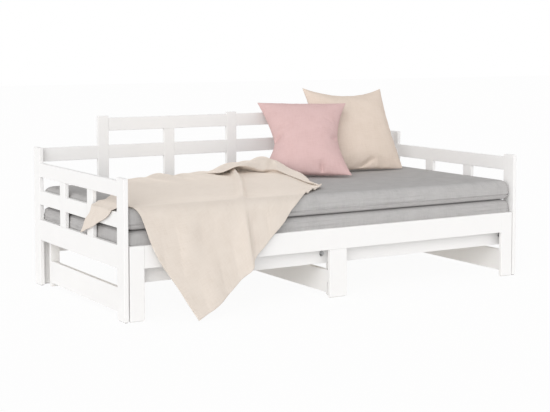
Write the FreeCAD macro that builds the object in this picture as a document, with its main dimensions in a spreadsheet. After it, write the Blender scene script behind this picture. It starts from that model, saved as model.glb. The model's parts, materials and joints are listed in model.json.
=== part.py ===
"""Pull-out day bed in white painted pine, with two mattresses, two cushions and a throw.

Millimetres. +X runs along the length, the open front faces -Y, +Z is up, and the floor is z = 0.
A fixed frame of two side panels and a raised back holds one set of slats. A front on three legs
carries a second set, which slides out between the fixed slats on three low runners.
"""
import math
import os
import re

import FreeCAD
import Part
import Sketcher

V = FreeCAD.Vector

SIZES = (
    ("outer_length", 2035, "side panel to side panel, outside"),
    ("panel_depth", 987, "depth of a side panel"),
    ("throw_reach", 110, "how far the throw's tip stands out in front of the side panels"),
    ("pad_height", 3, "felt pads and nylon glides under the feet"),
    ("pad_inset", 4, "pads are this much smaller than the foot, all round"),
    ("post_thick", 19, "thickness of the posts and uprights"),
    ("rail_thick", 18, "thickness of rails, balusters, beams, legs and runners"),
    ("edge_round", 2, "rounded arris of the boards"),
    ("joint_fit", 0.2, "clearance of a tenon in its mortise, each side"),
    ("tenon_thick", 8, "thickness of a tenon"),
    ("tenon_length", 20, "length of a rail's tenon"),
    ("stub_length", 12, "length of a baluster's stub tenon"),
    ("tenon_shoulder", 10, "shoulder above and below a tenon"),
    ("post_width", 70, "width of the side panels' posts"),
    ("side_mid", 436, "top of the side panels' middle rail"),
    ("side_mid_height", 63, "height of that rail"),
    ("upper_opening", 63, "clear height between that rail and the top rail"),
    ("side_top_height", 63, "height of the top rail"),
    ("side_top", "side_mid + upper_opening + side_top_height", "top of that rail"),
    ("lower_opening", 69, "clear height between the middle rail and the lower rail"),
    ("side_low", "side_mid - side_mid_height - lower_opening", "top of the lower rail"),
    ("side_low_height", 94, "height of that rail"),
    ("front_post_rise", 13, "front posts' tops, above the top rail"),
    ("front_post_top", "side_top + front_post_rise", "top of the front posts"),
    ("rear_post_rise", 69, "rear posts' tops, above the top rail"),
    ("rear_post_top", "side_top + rear_post_rise", "top of the rear posts"),
    ("baluster_width", 60, "width of the side panels' balusters"),
    ("back_inset", 19, "back panel's rear face, forward of the posts' rear edge"),
    ("back_drop", 5, "back's full-length rail, below the rear posts' tops"),
    ("back_mid", "rear_post_top - back_drop", "top of that rail"),
    ("back_mid_height", 62, "height of that rail"),
    ("back_opening", 68, "clear height between that rail and the raised rail"),
    ("back_crown_height", 60, "height of the raised rail"),
    ("back_crown", "back_mid + back_opening + back_crown_height", "top of the raised rail"),
    ("crown_rise", 10, "raised posts' tops, above that rail"),
    ("back_post_top", "back_crown + crown_rise", "top of the raised posts"),
    ("upright_width", 54, "width of the back's uprights"),
    ("back_end_gap", 283.5, "clear width between a side panel and the raised part of the back"),
    ("upright_pitch", "(outer_length / 2 - post_thick - back_end_gap - upright_width / 2) / 2",
     "spacing of the back's uprights"),
    ("back_leg_width", 68, "width of the back's legs"),
    ("back_leg_gap", 12, "back's end legs, inward of the posts"),
    ("beam_bottom", 145, "underside of the fixed beams and the back's lower rail"),
    ("slat_base", 252, "underside of the slats"),
    ("beam_setback", 52, "fixed beams, behind the front of the posts"),
    ("middle_post_width", 38, "width of the fixed middle post"),
    ("middle_post_depth", 30, "front to back depth of that post"),
    ("ledger_thick", 18, "thickness of the rear slat ledger"),
    ("ledger_height", 40, "height of both slat ledgers"),
    ("slat_thick", 18, "thickness of a slat"),
    ("slat_width", 70, "width of a slat"),
    ("slat_end_gap", 2, "fixed slats' rear ends, in front of the back's rails"),
    ("slide_gap", 2, "mattresses, behind the pull-out's front rail"),
    ("lift_gap", 0.5, "height of the sliding slats above the fixed beams"),
    ("front_gap", 5, "gap between the pull-out front and a side panel"),
    ("front_rail_top", 304, "top of the pull-out's front rail"),
    ("front_rail_height", 93, "height of that rail"),
    ("front_leg_width", 64, "width of the front's end legs"),
    ("middle_leg_width", 89, "width of the front's middle leg"),
    ("runner_inset", 32, "side runners' outer face, inward of the side panel's outer face"),
    ("runner_bottom", 19, "underside of the runners"),
    ("runner_height", 100, "height of the runners"),
    ("runner_clear", 3, "middle runner, beside the fixed middle post"),
    ("toe_notch", 12, "length cut from a runner's lower front corner"),
    ("toe_height", 46, "height of that cut"),
    ("rear_leg_width", 42, "width of the pull-out's rear legs"),
    ("tie_height", 60, "height of the rear tie under the sliding slats"),
    ("tie_back_gap", 43, "rear tie, in front of the rear slat ledger"),
    ("tie_setback", "panel_depth - back_inset - 2 * rail_thick - ledger_thick - tie_back_gap",
     "front of the rear tie and rear legs, behind the front of the posts"),
    ("tie_drop", 3, "rear tie's top, below the fixed slats"),
    ("bolt_size", 6, "diameter of the bolts"),
    ("bolt_drop", 10, "lower bolts, below the middle of their beam or rail"),
    ("bolt_grip", 14, "how far a hanger bolt is screwed into a post"),
    ("bolt_tail", 10, "how far a bolt runs on past the middle of its recess"),
    ("bolt_fit", 0.3, "clearance round bolts and washers"),
    ("recess_size", 26, "diameter of the round recesses for the half-moon washers"),
    ("recess_depth", 15, "depth of those recesses"),
    ("recess_back", 34, "recess's middle, from its rail's end"),
    ("washer_length", 12, "length of a half-moon washer"),
    ("nut_corners", 11, "hexagon nut's width across its corners"),
    ("nut_height", 5, "height of a hexagon nut"),
    ("bracket_size", 24, "length of a steel angle's arms"),
    ("bracket_height", 40, "height of a steel angle"),
    ("bracket_thick", 2, "thickness of a steel angle"),
    ("rest_gap", 0.4, "clearance of the soft pieces"),
    ("mattress_end_gap", 6.5, "gap between a mattress and a side panel"),
    ("mattress_back_gap", 70, "gap between a mattress and the back's rails"),
    ("mattress_length", "outer_length - 2 * post_thick - 2 * mattress_end_gap", "length of a mattress"),
    ("mattress_width", "panel_depth - back_inset - 2 * rail_thick - slide_gap - mattress_back_gap",
     "width of a mattress"),
    ("mattress_height", 91, "height of a mattress"),
    ("mattress_corner", 22, "corner radius of a mattress in plan"),
    ("mattress_edge", 20, "roll of a mattress's top and bottom edges"),
    ("cushion_side", 462, "corner to corner along a cushion's side"),
    ("cushion_crown", 74, "half of a cushion's thickness"),
    ("cushion_waist", 22, "how far a cushion's sides draw in"),
    ("beige_along", 361, "beige cushion's middle, left of the right panel"),
    ("beige_turn", -3, "beige cushion's turn about the vertical, degrees"),
    ("beige_lean", 31, "beige cushion's lean backwards, degrees"),
    ("pink_along", 721, "pink cushion's middle, left of the right panel"),
    ("pink_turn", -27, "pink cushion's turn about the vertical, degrees"),
    ("pink_lean", 43, "pink cushion's lean backwards, degrees"),
    ("cushion_sway", -2, "cushions' turn in their own plane, degrees"),
    ("throw_thick", 6, "thickness of the throw"),
    ("throw_tip_height", 8, "height of the throw's lowest corner"),
)
FIXED_SLATS = 11
SLIDING_SLATS = FIXED_SLATS - 1
LEANT_ON = ("back_left_crown_rail", "back_right_crown_rail", "back_mid_rail", "back_middle_post",
            "back_right_post")
SETTLE_TRIES = 12
# A mattress's rolled edge: rise and inset of its outlines, as parts of the roll.
ROLLED_EDGE = ((0, 1), (1 / 3, 1 / 3), (1, 1 / 6))
CROWN_STEPS = 4
CROWN_ANGLE = 20
SIDE_FULLNESS = 0.77
# Heights of the throw's folds, left to right, as parts of the fold depth at each cut.
FOLDS = (0.8, 0.2, 0.7, 0.15, 1.0, 0.25)
# Cuts across the throw where it lies: left and right end as parts of the room between the left panel and the
# pink cushion, distance behind the mattress's front as a part of its width, fold depth as a part of the cut.
THROW_LYING = ((0.434, 0.86, 0.89, 0.045), (0.25, 0.95, 0.7, 0.035), (0.13, 1.043, 0.5, 0.022),
               (0.021, 1.052, 0.29, 0.013), (0.021, 0.936, 0.12, 0.009), (0.025, 0.86, 0.04, 0.008))
# Cuts where it hangs, evenly spaced from the mattress's top to the tip: left and right end as above, distance
# behind the front of the posts, tilt in degrees, fold depth as a part of the cut.
THROW_HANGING = ((0.039, 0.816, 6, 40, 0.008), (0.071, 0.724, -22, 82, 0.019), (0.112, 0.63, -28, 82, 0.035),
                 (0.161, 0.538, -38, 80, 0.053), (0.205, 0.417, -56, 75, 0.057), (0.234, 0.265, 0, 60, 0.1))
SIZE_NAMES = {name for name, _, _ in SIZES}

doc = FreeCAD.newDocument("pull_out_bed")
sheet = doc.addObject("Spreadsheet::Sheet", "Sizes")
for row, (alias, value, meaning) in enumerate(SIZES, start=1):
    sheet.set("A%d" % row, meaning)
    sheet.set("B%d" % row, "=" + value if isinstance(value, str) else str(value))
    sheet.setAlias("B%d" % row, alias)
doc.recompute()

# Planes that many boards share, as expressions of the sheet's sizes.
FRONT = "((throw_reach - panel_depth) / 2)"
REAR = "((throw_reach + panel_depth) / 2)"
INNER = "(outer_length / 2 - post_thick)"
BACK_FACE = "(%s - back_inset - rail_thick)" % REAR
BEAM_FACE = "(%s + beam_setback)" % FRONT
BEAM_REAR = "(%s + rail_thick)" % BEAM_FACE
LEDGER_FACE = "(%s - ledger_thick)" % BACK_FACE
TIE_FACE = "(%s + tie_setback)" % FRONT
TIE_REAR = "(%s + rail_thick)" % TIE_FACE
LEG_REAR = "(%s + rail_thick)" % FRONT
SLAT_PITCH = "((2 * %s) / %d)" % (INNER, FIXED_SLATS + SLIDING_SLATS)
BOLT_HEIGHT = "((beam_bottom + slat_base) / 2 - bolt_drop)"
SUBPARTS = []


def bound(text):
    """An expression with every size named as a cell of the sheet."""
    return re.sub(r"[a-z][a-z_]*", lambda m: "Sizes." + m[0] if m[0] in SIZE_NAMES else m[0], str(text))


def measure(text):
    """The number that an expression of the sheet's sizes stands for."""
    sheet.set("D1", "=" + re.sub(r"\bSizes\.", "", bound(text)))
    sheet.recompute()
    found = sheet.get("D1")
    sheet.clear("D1")
    return float(found)


def cell(name):
    """The value of one size."""
    return float(sheet.get(name))


def bind(thing, **properties):
    """Ties properties of a feature to expressions of the sizes."""
    for name, text in properties.items():
        thing.setExpression(name.replace("__", "."), bound(text))


def place(thing, corner):
    """Ties a feature's position to three expressions."""
    bind(thing, **{"Placement__Base__" + axis: text for axis, text in zip("xyz", corner)})


def less(corner, origin):
    """A corner as seen from another one."""
    return ["(%s) - (%s)" % pair for pair in zip(corner, origin)]


def section_sketch(body, role, width, height):
    """A rectangle from the body's origin on one of its origin planes."""
    sketch = body.newObject("Sketcher::SketchObject", body.Name + "_section")
    plane = next(item for item in body.Origin.OriginFeatures if item.Role == role)
    sketch.AttachmentSupport = [(plane, "")]
    sketch.MapMode = "FlatFace"
    corners = (V(0, 0), V(10, 0), V(10, 10), V(0, 10))
    for first, second in zip(corners, corners[1:] + corners[:1]):
        sketch.addGeometry(Part.LineSegment(first, second), False)
    for line in range(4):
        sketch.addConstraint(Sketcher.Constraint("Coincident", line, 2, (line + 1) % 4, 1))
        sketch.addConstraint(Sketcher.Constraint("Vertical" if line % 2 else "Horizontal", line))
    sketch.addConstraint(Sketcher.Constraint("Coincident", 0, 1, -1, 1))
    for name, kind, line, text in (("across", "DistanceX", 0, width), ("upward", "DistanceY", 1, height)):
        index = sketch.addConstraint(Sketcher.Constraint(kind, line, 1, line, 2, 10.0))
        sketch.renameConstraint(index, name)
        bind(sketch, **{"Constraints__" + name: text})
    return sketch


def block(corner, size):
    """A box-shaped tenon or housing: its lowest corner and its three sides."""
    return ("Box", corner, size)


def bore(axis, start, diameter, length):
    """A round hole along an axis, from its starting point."""
    return ("Cylinder", start, (axis, diameter, length))


ALONG = {"x": ("YZ_Plane", (1, 2), 0), "y": ("XZ_Plane", (0, 2), 1), "z": ("XY_Plane", (0, 1), 2)}
TURN = {"x": FreeCAD.Rotation(V(0, 1, 0), 90), "y": FreeCAD.Rotation(V(1, 0, 0), -90)}


def board(label, along, corner, size, tenons=(), cuts=(), round_top=False):
    """A planed board: its section padded along the grain, arrises rounded, then joints added and cut."""
    role, sides, run = ALONG[along]
    body = doc.addObject("PartDesign::Body", label)
    body.Label = label
    place(body, corner)
    sketch = section_sketch(body, role, size[sides[0]], size[sides[1]])
    pad = body.newObject("PartDesign::Pad", label + "_pad")
    pad.Profile = sketch
    pad.Reversed = along == "y"
    bind(pad, Length=size[run])
    pad.recompute(True)
    fillet = body.newObject("PartDesign::Fillet", label + "_arris")
    fillet.Base = (pad, arrises(pad.Shape, run, round_top))
    bind(fillet, Radius="edge_round")
    for kind, forms in (("Additive", tenons), ("Subtractive", cuts)):
        for form, start, shape in forms:
            feature = body.newObject("PartDesign::%s%s" % (kind, form), label + "_joint")
            place(feature, less(start, corner))
            if form == "Box":
                bind(feature, Length=shape[0], Width=shape[1], Height=shape[2])
            else:
                feature.Placement.Rotation = TURN[shape[0]]
                bind(feature, Radius="(%s) / 2" % shape[1], Height=shape[2])
    SUBPARTS.append(body)
    return body


def arrises(shape, run, round_top):
    """Names of the edges along the grain and, on a post, of those round its top."""
    names = []
    top = shape.BoundBox.ZMax
    for number, edge in enumerate(shape.Edges, start=1):
        way = edge.tangentAt(edge.FirstParameter)
        at_top = round_top and edge.BoundBox.ZMin > top - 1e-6
        if abs(way[run]) > 0.99 or at_top:
            names.append("Edge%d" % number)
    return names


def group(label, pieces):
    """Several like solids under one name."""
    compound = doc.addObject("Part::Compound", label)
    compound.Label = label
    compound.Links = pieces
    SUBPARTS.append(compound)


def plain_box(name, corner, size):
    """A square-edged board or plate."""
    box = doc.addObject("Part::Box", name)
    place(box, corner)
    bind(box, Length=size[0], Width=size[1], Height=size[2])
    return box


def plain_rod(name, axis, start, diameter, length):
    """A round bar along an axis."""
    rod = doc.addObject("Part::Cylinder", name)
    rod.Placement.Rotation = TURN[axis]
    place(rod, start)
    bind(rod, Radius="(%s) / 2" % diameter, Height=length)
    return rod


def side_low(side, thick):
    """Lowest x of a board of this thickness, centred in the thickness of a side panel's posts."""
    if side == "left":
        return "-outer_length / 2 + (post_thick - %s) / 2" % thick
    return "outer_length / 2 - (post_thick + %s) / 2" % thick


def tenon(corner, size, room=False):
    """A tenon, or with room the mortise that takes it."""
    if not room:
        return block(corner, size)
    grown = ["(%s) - joint_fit" % text for text in corner]
    return block(grown, ["(%s) + 2 * joint_fit" % text for text in size])


def bolt_bore(side, across, height):
    """The blind hole for a hanger bolt in a post, from its inner face outwards."""
    at = "-%s - bolt_grip" % INNER if side == "left" else INNER
    return bore("x", (at, across, height), "bolt_size + 2 * bolt_fit", "bolt_grip")


BOLT_LINES = (
    ("beam", "(%s + rail_thick / 2)" % BEAM_FACE, BOLT_HEIGHT),
    ("lower", "(%s + rail_thick / 2)" % BACK_FACE, BOLT_HEIGHT),
    ("upper", "(%s + rail_thick / 2)" % BACK_FACE, "(back_mid - back_mid_height / 2)"),
)
SIDE_RAILS = (
    ("top_rail", "side_top", "side_top_height"),
    ("mid_rail", "side_mid", "side_mid_height"),
    ("lower_rail", "side_low", "side_low_height"),
)
BAY = "((panel_depth - 2 * post_width - 2 * baluster_width) / 3)"
BALUSTER_AT = ("%s + post_width + %s" % (FRONT, BAY),
               "%s + post_width + 2 * %s + baluster_width" % (FRONT, BAY))


def rail_tenon(side, top, height, start, room=False):
    """The tenon of a side rail at one end, from the shoulder's line."""
    corner = (side_low(side, "tenon_thick"), start, "%s - %s + tenon_shoulder" % (top, height))
    return tenon(corner, ("tenon_thick", "tenon_length", "%s - 2 * tenon_shoulder" % height), room)


def stub(side, start, height, room=False):
    """The stub tenon at one end of a side baluster."""
    corner = (side_low(side, "tenon_thick"), "%s + tenon_shoulder" % start, height)
    return tenon(corner, ("tenon_thick", "baluster_width - 2 * tenon_shoulder", "stub_length"), room)


def side_panel(side):
    """One end of the bed: two posts, three rails and two balusters that lap the middle rail."""
    front_shoulder = "%s + post_width" % FRONT
    rear_shoulder = "%s - post_width" % REAR
    ends = (("front", FRONT, "front_post_top", front_shoulder + " - tenon_length"),
            ("rear", rear_shoulder, "rear_post_top", rear_shoulder))
    for end, start, top, tenon_start in ends:
        cuts = [rail_tenon(side, rail_top, height, tenon_start, room=True)
                for _, rail_top, height in SIDE_RAILS]
        for name, across, height in BOLT_LINES:
            if (name == "beam") == (end == "front"):
                cuts.append(bolt_bore(side, across, height))
        board("%s_%s_post" % (side, end), "z", (side_low(side, "post_thick"), start, "pad_height"),
              ("post_thick", "post_width", "%s - pad_height" % top), cuts=cuts, round_top=True)
    low_x = side_low(side, "rail_thick")
    outer_half = low_x if side == "left" else low_x + " + rail_thick / 2"
    inner_half = low_x + " + rail_thick / 2" if side == "left" else low_x
    for name, top, height in SIDE_RAILS:
        cuts = []
        for start in BALUSTER_AT:
            if name == "mid_rail":
                cuts.append(block((outer_half, start, "%s - %s" % (top, height)),
                                  ("rail_thick / 2", "baluster_width", height)))
            elif name == "top_rail":
                cuts.append(stub(side, start, "side_top - side_top_height", room=True))
            else:
                cuts.append(stub(side, start, "side_low - stub_length", room=True))
        tenons = [rail_tenon(side, top, height, front_shoulder + " - tenon_length"),
                  rail_tenon(side, top, height, rear_shoulder)]
        board("%s_%s" % (side, name), "y", (low_x, front_shoulder, "%s - %s" % (top, height)),
              ("rail_thick", "panel_depth - 2 * post_width", height), tenons, cuts)
    for end, start in zip(("front", "rear"), BALUSTER_AT):
        tenons = [stub(side, start, "side_low - stub_length"), stub(side, start, "side_top - side_top_height")]
        lap = block((inner_half, start, "side_mid - side_mid_height"),
                    ("rail_thick / 2", "baluster_width", "side_mid_height"))
        board("%s_%s_baluster" % (side, end), "z", (low_x, start, "side_low"),
              ("rail_thick", "baluster_width", "side_top - side_top_height - side_low"), tenons, [lap])


UPRIGHT_FACE = "(%s - (post_thick - rail_thick) / 2)" % BACK_FACE
BACK_MIDDLE = "(%s + rail_thick / 2)" % BACK_FACE
UPRIGHTS = (("left_post", -2), ("left_baluster", -1), ("middle_post", 0),
            ("right_baluster", 1), ("right_post", 2))
CROWN_BOTTOM = "(back_crown - back_crown_height)"
MID_BOTTOM = "(back_mid - back_mid_height)"


def upright_low(step):
    """Lowest x of one of the back's uprights, counted from the middle one."""
    return "%d * upright_pitch - upright_width / 2" % step


def back_stub(step, height, room=False):
    """The stub tenon at an end of one of the back's uprights."""
    corner = (upright_low(step) + " + tenon_shoulder", BACK_MIDDLE + " - tenon_thick / 2", height)
    return tenon(corner, ("upright_width - 2 * tenon_shoulder", "tenon_thick", "stub_length"), room)


def crown_tenon(start, room=False):
    """The tenon of a raised rail, from the lower of its two ends."""
    corner = (start, BACK_MIDDLE + " - tenon_thick / 2", CROWN_BOTTOM + " + tenon_shoulder")
    return tenon(corner, ("stub_length", "tenon_thick", "back_crown_height - 2 * tenon_shoulder"), room)


def back_leg_low(name):
    """Lowest x of one of the back's legs."""
    if name == "left":
        return "-%s + back_leg_gap" % INNER
    if name == "right":
        return "%s - back_leg_gap - back_leg_width" % INNER
    return "-back_leg_width / 2"


def leg_stub(name, room=False):
    """The stub tenon at the top of one of the back's legs."""
    corner = (back_leg_low(name) + " + tenon_shoulder", BACK_MIDDLE + " - tenon_thick / 2", "beam_bottom")
    return tenon(corner, ("back_leg_width - 2 * tenon_shoulder", "tenon_thick", "stub_length"), room)


def end_cuts(end, inward, face, across, height):
    """The bolt hole in a rail's end and the round recess that it leads to."""
    middle = "%s %s recess_back" % (end, inward)
    start = end if inward == "+" else middle
    return [bore("x", (start, across, height), "bolt_size + 2 * bolt_fit", "recess_back"),
            bore("y", (middle, face, height), "recess_size", "recess_depth")]


REAR_RECESS = "(%s + rail_thick - recess_depth)" % BACK_FACE


def back_panel():
    """The back: a full-length rail, a raised middle part on five uprights, and a lower rail on three legs."""
    for name, step in UPRIGHTS:
        low = upright_low(step)
        raised = name.endswith("post")
        lap = block((low, BACK_MIDDLE, MID_BOTTOM), ("upright_width", "post_thick", "back_mid_height"))
        tenons = [back_stub(step, "slat_base - stub_length")]
        cuts = [lap]
        if not raised:
            tenons.append(back_stub(step, CROWN_BOTTOM))
        if raised and step < 2:
            cuts.append(crown_tenon(low + " + upright_width - stub_length", room=True))
        if raised and step > -2:
            cuts.append(crown_tenon(low, room=True))
        top = "back_post_top" if raised else CROWN_BOTTOM
        board("back_" + name, "z", (low, UPRIGHT_FACE, "slat_base"),
              ("upright_width", "post_thick", "%s - slat_base" % top), tenons, cuts, round_top=raised)

    laps = [block((upright_low(step), BACK_FACE, MID_BOTTOM),
                  ("upright_width", "rail_thick / 2", "back_mid_height")) for _, step in UPRIGHTS]
    _, across, height = BOLT_LINES[2]
    cuts = laps + end_cuts("-" + INNER, "+", REAR_RECESS, across, height)
    cuts += end_cuts(INNER, "-", REAR_RECESS, across, height)
    board("back_mid_rail", "x", ("-" + INNER, BACK_FACE, MID_BOTTOM),
          ("2 * " + INNER, "rail_thick", "back_mid_height"), cuts=cuts)

    for name, step, baluster in (("left", -2, -1), ("right", 0, 1)):
        start = upright_low(step) + " + upright_width"
        tenons = [crown_tenon(start + " - stub_length"), crown_tenon(upright_low(step + 2))]
        board("back_%s_crown_rail" % name, "x", (start, BACK_FACE, CROWN_BOTTOM),
              ("2 * upright_pitch - upright_width", "rail_thick", "back_crown_height"),
              tenons, [back_stub(baluster, CROWN_BOTTOM, room=True)])

    _, across, height = BOLT_LINES[1]
    cuts = [back_stub(step, "slat_base - stub_length", room=True) for _, step in UPRIGHTS]
    cuts += [leg_stub(name, room=True) for name in ("left", "middle", "right")]
    cuts += end_cuts("-" + INNER, "+", REAR_RECESS, across, height)
    cuts += end_cuts(INNER, "-", REAR_RECESS, across, height)
    board("back_lower_rail", "x", ("-" + INNER, BACK_FACE, "beam_bottom"),
          ("2 * " + INNER, "rail_thick", "slat_base - beam_bottom"), cuts=cuts)
    for name in ("left", "middle", "right"):
        board("back_%s_leg" % name, "z", (back_leg_low(name), BACK_FACE, "pad_height"),
              ("back_leg_width", "rail_thick", "beam_bottom - pad_height"), [leg_stub(name)])


def fixed_base():
    """The fixed beams on their middle post, the rear ledger and the fixed slats."""
    _, across, height = BOLT_LINES[0]
    post_low = "-middle_post_width / 2"
    for name, low, high in (("left", "-" + INNER, post_low), ("right", "middle_post_width / 2", INNER)):
        cuts = end_cuts(low, "+", BEAM_FACE, across, height) + end_cuts(high, "-", BEAM_FACE, across, height)
        board("fixed_%s_beam" % name, "x", (low, BEAM_FACE, "beam_bottom"),
              ("%s - middle_post_width / 2" % INNER, "rail_thick", "slat_base - beam_bottom"), cuts=cuts)
    board("fixed_middle_post", "z", (post_low, BEAM_REAR + " - middle_post_depth", "pad_height"),
          ("middle_post_width", "middle_post_depth", "slat_base - pad_height"),
          cuts=[bore("x", (post_low, across, height), "bolt_size + 2 * bolt_fit", "middle_post_width")])
    board("rear_slat_ledger", "x", ("-" + INNER, LEDGER_FACE, "slat_base - ledger_height"),
          ("2 * " + INNER, "ledger_thick", "ledger_height"))
    size = ("slat_width", "%s - slat_end_gap - %s" % (BACK_FACE, BEAM_FACE), "slat_thick")
    group("fixed_slats", [plain_box("fixed_slat", (slat_low(2 * i), BEAM_FACE, "slat_base"), size)
                          for i in range(FIXED_SLATS)])


def slat_low(place_number):
    """Lowest x of a slat: fixed slats take the even places, sliding ones the odd places."""
    return "-%s + (%d + 0.5) * %s - slat_width / 2" % (INNER, place_number, SLAT_PITCH)


def pad_under(name, corner, size):
    """A pad or glide under a foot, a little smaller than the foot."""
    low = ("(%s) + pad_inset" % corner[0], "(%s) + pad_inset" % corner[1], "0")
    return plain_box(name, low, ("%s - 2 * pad_inset" % size[0], "%s - 2 * pad_inset" % size[1], "pad_height"))


def half_moon(middle, face, across, height, toward):
    """A half-moon washer in the half of a recess next to its rail's end, drilled for the bolt."""
    washer = doc.addObject("Part::Cut", "washer")
    drum = plain_rod("washer_drum", "y", (middle, face, height), "recess_size - 2 * bolt_fit", "washer_length")
    drum.Angle = 180
    drum.Placement.Rotation = TURN["y"].multiply(FreeCAD.Rotation(V(0, 0, 1), -90 * toward))
    washer.Base = drum
    washer.Tool = plain_rod("washer_hole", "x", ("%s - recess_size / 2" % middle, across, height),
                            "bolt_size + 2 * bolt_fit", "recess_size")
    return washer


def hex_nut(middle, across, height, toward):
    """A hexagon nut on the flat of a half-moon washer."""
    nut = doc.addObject("Part::Cut", "nut")
    start = middle if toward < 0 else "%s - nut_height" % middle
    prism = doc.addObject("Part::Prism", "nut_prism")
    prism.Polygon = 6
    prism.Placement.Rotation = TURN["x"]
    place(prism, (start, across, height))
    bind(prism, Circumradius="nut_corners / 2", Height="nut_height")
    nut.Base = prism
    nut.Tool = plain_rod("nut_hole", "x", (start, across, height), "bolt_size + 2 * bolt_fit", "nut_height")
    return nut


def fixed_hardware():
    """Hanger bolts, half-moon washers and nuts that hold the frame together, and the felt pads under it."""
    bolts, washers, nuts = [], [], []
    reach = "bolt_grip + recess_back + bolt_tail"
    joints = []
    for name, across, height in BOLT_LINES:
        face = BEAM_FACE + " + recess_depth - washer_length" if name == "beam" else REAR_RECESS
        joints.append(("-%s + recess_back" % INNER, face, across, height, -1))
        joints.append(("%s - recess_back" % INNER, face, across, height, 1))
        bolts.append(plain_rod("bolt", "x", ("-%s - bolt_grip" % INNER, across, height), "bolt_size", reach))
        bolts.append(plain_rod("bolt", "x", ("%s - recess_back - bolt_tail" % INNER, across, height),
                               "bolt_size", reach))
    _, across, height = BOLT_LINES[0]
    rod_end = "(middle_post_width / 2 + recess_back + bolt_tail)"
    bolts.append(plain_rod("rod", "x", ("-" + rod_end, across, height), "bolt_size", "2 * " + rod_end))
    face = BEAM_FACE + " + recess_depth - washer_length"
    joints.append(("-(middle_post_width / 2 + recess_back)", face, across, height, 1))
    joints.append(("middle_post_width / 2 + recess_back", face, across, height, -1))
    for middle, face, across, height, toward in joints:
        washers.append(half_moon(middle, face, across, height, toward))
        nuts.append(hex_nut(middle, across, height, toward))
    group("hanger_bolts", bolts)
    group("half_moon_washers", washers)
    group("hex_nuts", nuts)
    pads = []
    for side in ("left", "right"):
        for start in (FRONT, "%s - post_width" % REAR):
            pads.append(pad_under("pad", (side_low(side, "post_thick"), start), ("post_thick", "post_width")))
    for name in ("left", "middle", "right"):
        pads.append(pad_under("pad", (back_leg_low(name), BACK_FACE), ("back_leg_width", "rail_thick")))
    pads.append(pad_under("pad", ("-middle_post_width / 2", BEAM_REAR + " - middle_post_depth"),
                          ("middle_post_width", "middle_post_depth")))
    group("felt_pads", pads)


RUNNERS = {
    "left": "-outer_length / 2 + runner_inset",
    "middle": "-middle_post_width / 2 - runner_clear - rail_thick",
    "right": "outer_length / 2 - runner_inset - rail_thick",
}
FRONT_END = "(%s - front_gap)" % INNER
RAIL_BOTTOM = "(front_rail_top - front_rail_height)"
TIE_BOTTOM = "(slat_base - tie_drop - tie_height)"


def front_leg_low(name):
    """Lowest x of one of the front's legs."""
    if name == "left":
        return "-" + FRONT_END
    if name == "right":
        return "%s - front_leg_width" % FRONT_END
    return "-middle_leg_width / 2"


def rear_leg_low(name):
    """The rear legs stand at the runners' ends: the middle one beside the line of the fixed post."""
    return RUNNERS[name] if name == "left" else "%s + rail_thick - rear_leg_width" % RUNNERS[name]


def front_tenon(start, room=False):
    """The front rail's tenon, from the lower of its two ends."""
    corner = (start, "%s + (rail_thick - tenon_thick) / 2" % FRONT, RAIL_BOTTOM + " + tenon_shoulder")
    return tenon(corner, ("tenon_length", "tenon_thick", "front_rail_height - 2 * tenon_shoulder"), room)


def middle_leg_tenon(room=False):
    """The tenon at the top of the front's middle leg."""
    corner = ("-middle_leg_width / 2 + tenon_shoulder", "%s + (rail_thick - tenon_thick) / 2" % FRONT,
              RAIL_BOTTOM)
    return tenon(corner, ("middle_leg_width - 2 * tenon_shoulder", "tenon_thick", "tenon_length"), room)


def pull_out():
    """The sliding half: front rail on three legs, three runners, rear legs and tie, and its slats."""
    left_shoulder = "-%s + front_leg_width" % FRONT_END
    right_shoulder = "%s - front_leg_width" % FRONT_END
    shoulders = {"left": left_shoulder + " - tenon_length", "right": right_shoulder}
    board("pull_out_front_rail", "x", (left_shoulder, FRONT, RAIL_BOTTOM),
          ("2 * (%s)" % right_shoulder, "rail_thick", "front_rail_height"),
          [front_tenon(start) for start in shoulders.values()], [middle_leg_tenon(room=True)])
    for name in ("left", "right"):
        board("pull_out_%s_leg" % name, "z", (front_leg_low(name), FRONT, "pad_height"),
              ("front_leg_width", "rail_thick", "front_rail_top - pad_height"),
              cuts=[front_tenon(shoulders[name], room=True)], round_top=True)
    board("pull_out_middle_leg", "z", (front_leg_low("middle"), FRONT, "pad_height"),
          ("middle_leg_width", "rail_thick", RAIL_BOTTOM + " - pad_height"), [middle_leg_tenon()])
    board("pull_out_slat_ledger", "x", ("-" + FRONT_END, LEG_REAR, "slat_base + lift_gap - ledger_height"),
          ("2 * " + FRONT_END, "rail_thick", "ledger_height"))
    board("pull_out_rear_tie", "x", ("-outer_length / 2 + runner_inset", TIE_FACE, TIE_BOTTOM),
          ("outer_length - 2 * runner_inset", "rail_thick", "tie_height"))
    for name, low in RUNNERS.items():
        notch = block((low, LEG_REAR, "runner_bottom"), ("rail_thick", "toe_notch", "toe_height"))
        board("pull_out_%s_runner" % name, "y", (low, LEG_REAR, "runner_bottom"),
              ("rail_thick", "%s - %s" % (TIE_FACE, LEG_REAR), "runner_height"), cuts=[notch])
        board("pull_out_%s_rear_leg" % name, "z", (rear_leg_low(name), TIE_FACE, "pad_height"),
              ("rear_leg_width", "rail_thick", TIE_BOTTOM + " - pad_height"))
    slats, pads = [], []
    for i in range(SLIDING_SLATS):
        low = slat_low(2 * i + 1)
        slats.append(plain_box("sliding_slat", (low, LEG_REAR, "slat_base + lift_gap"),
                               ("slat_width", "%s - %s" % (TIE_REAR, LEG_REAR), "slat_thick")))
        pads.append(plain_box("slat_pad", (low, TIE_FACE, "slat_base - tie_drop"),
                              ("slat_width", "rail_thick", "tie_drop + lift_gap")))
    group("pull_out_slats", slats)
    group("pull_out_slat_pads", pads)


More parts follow.
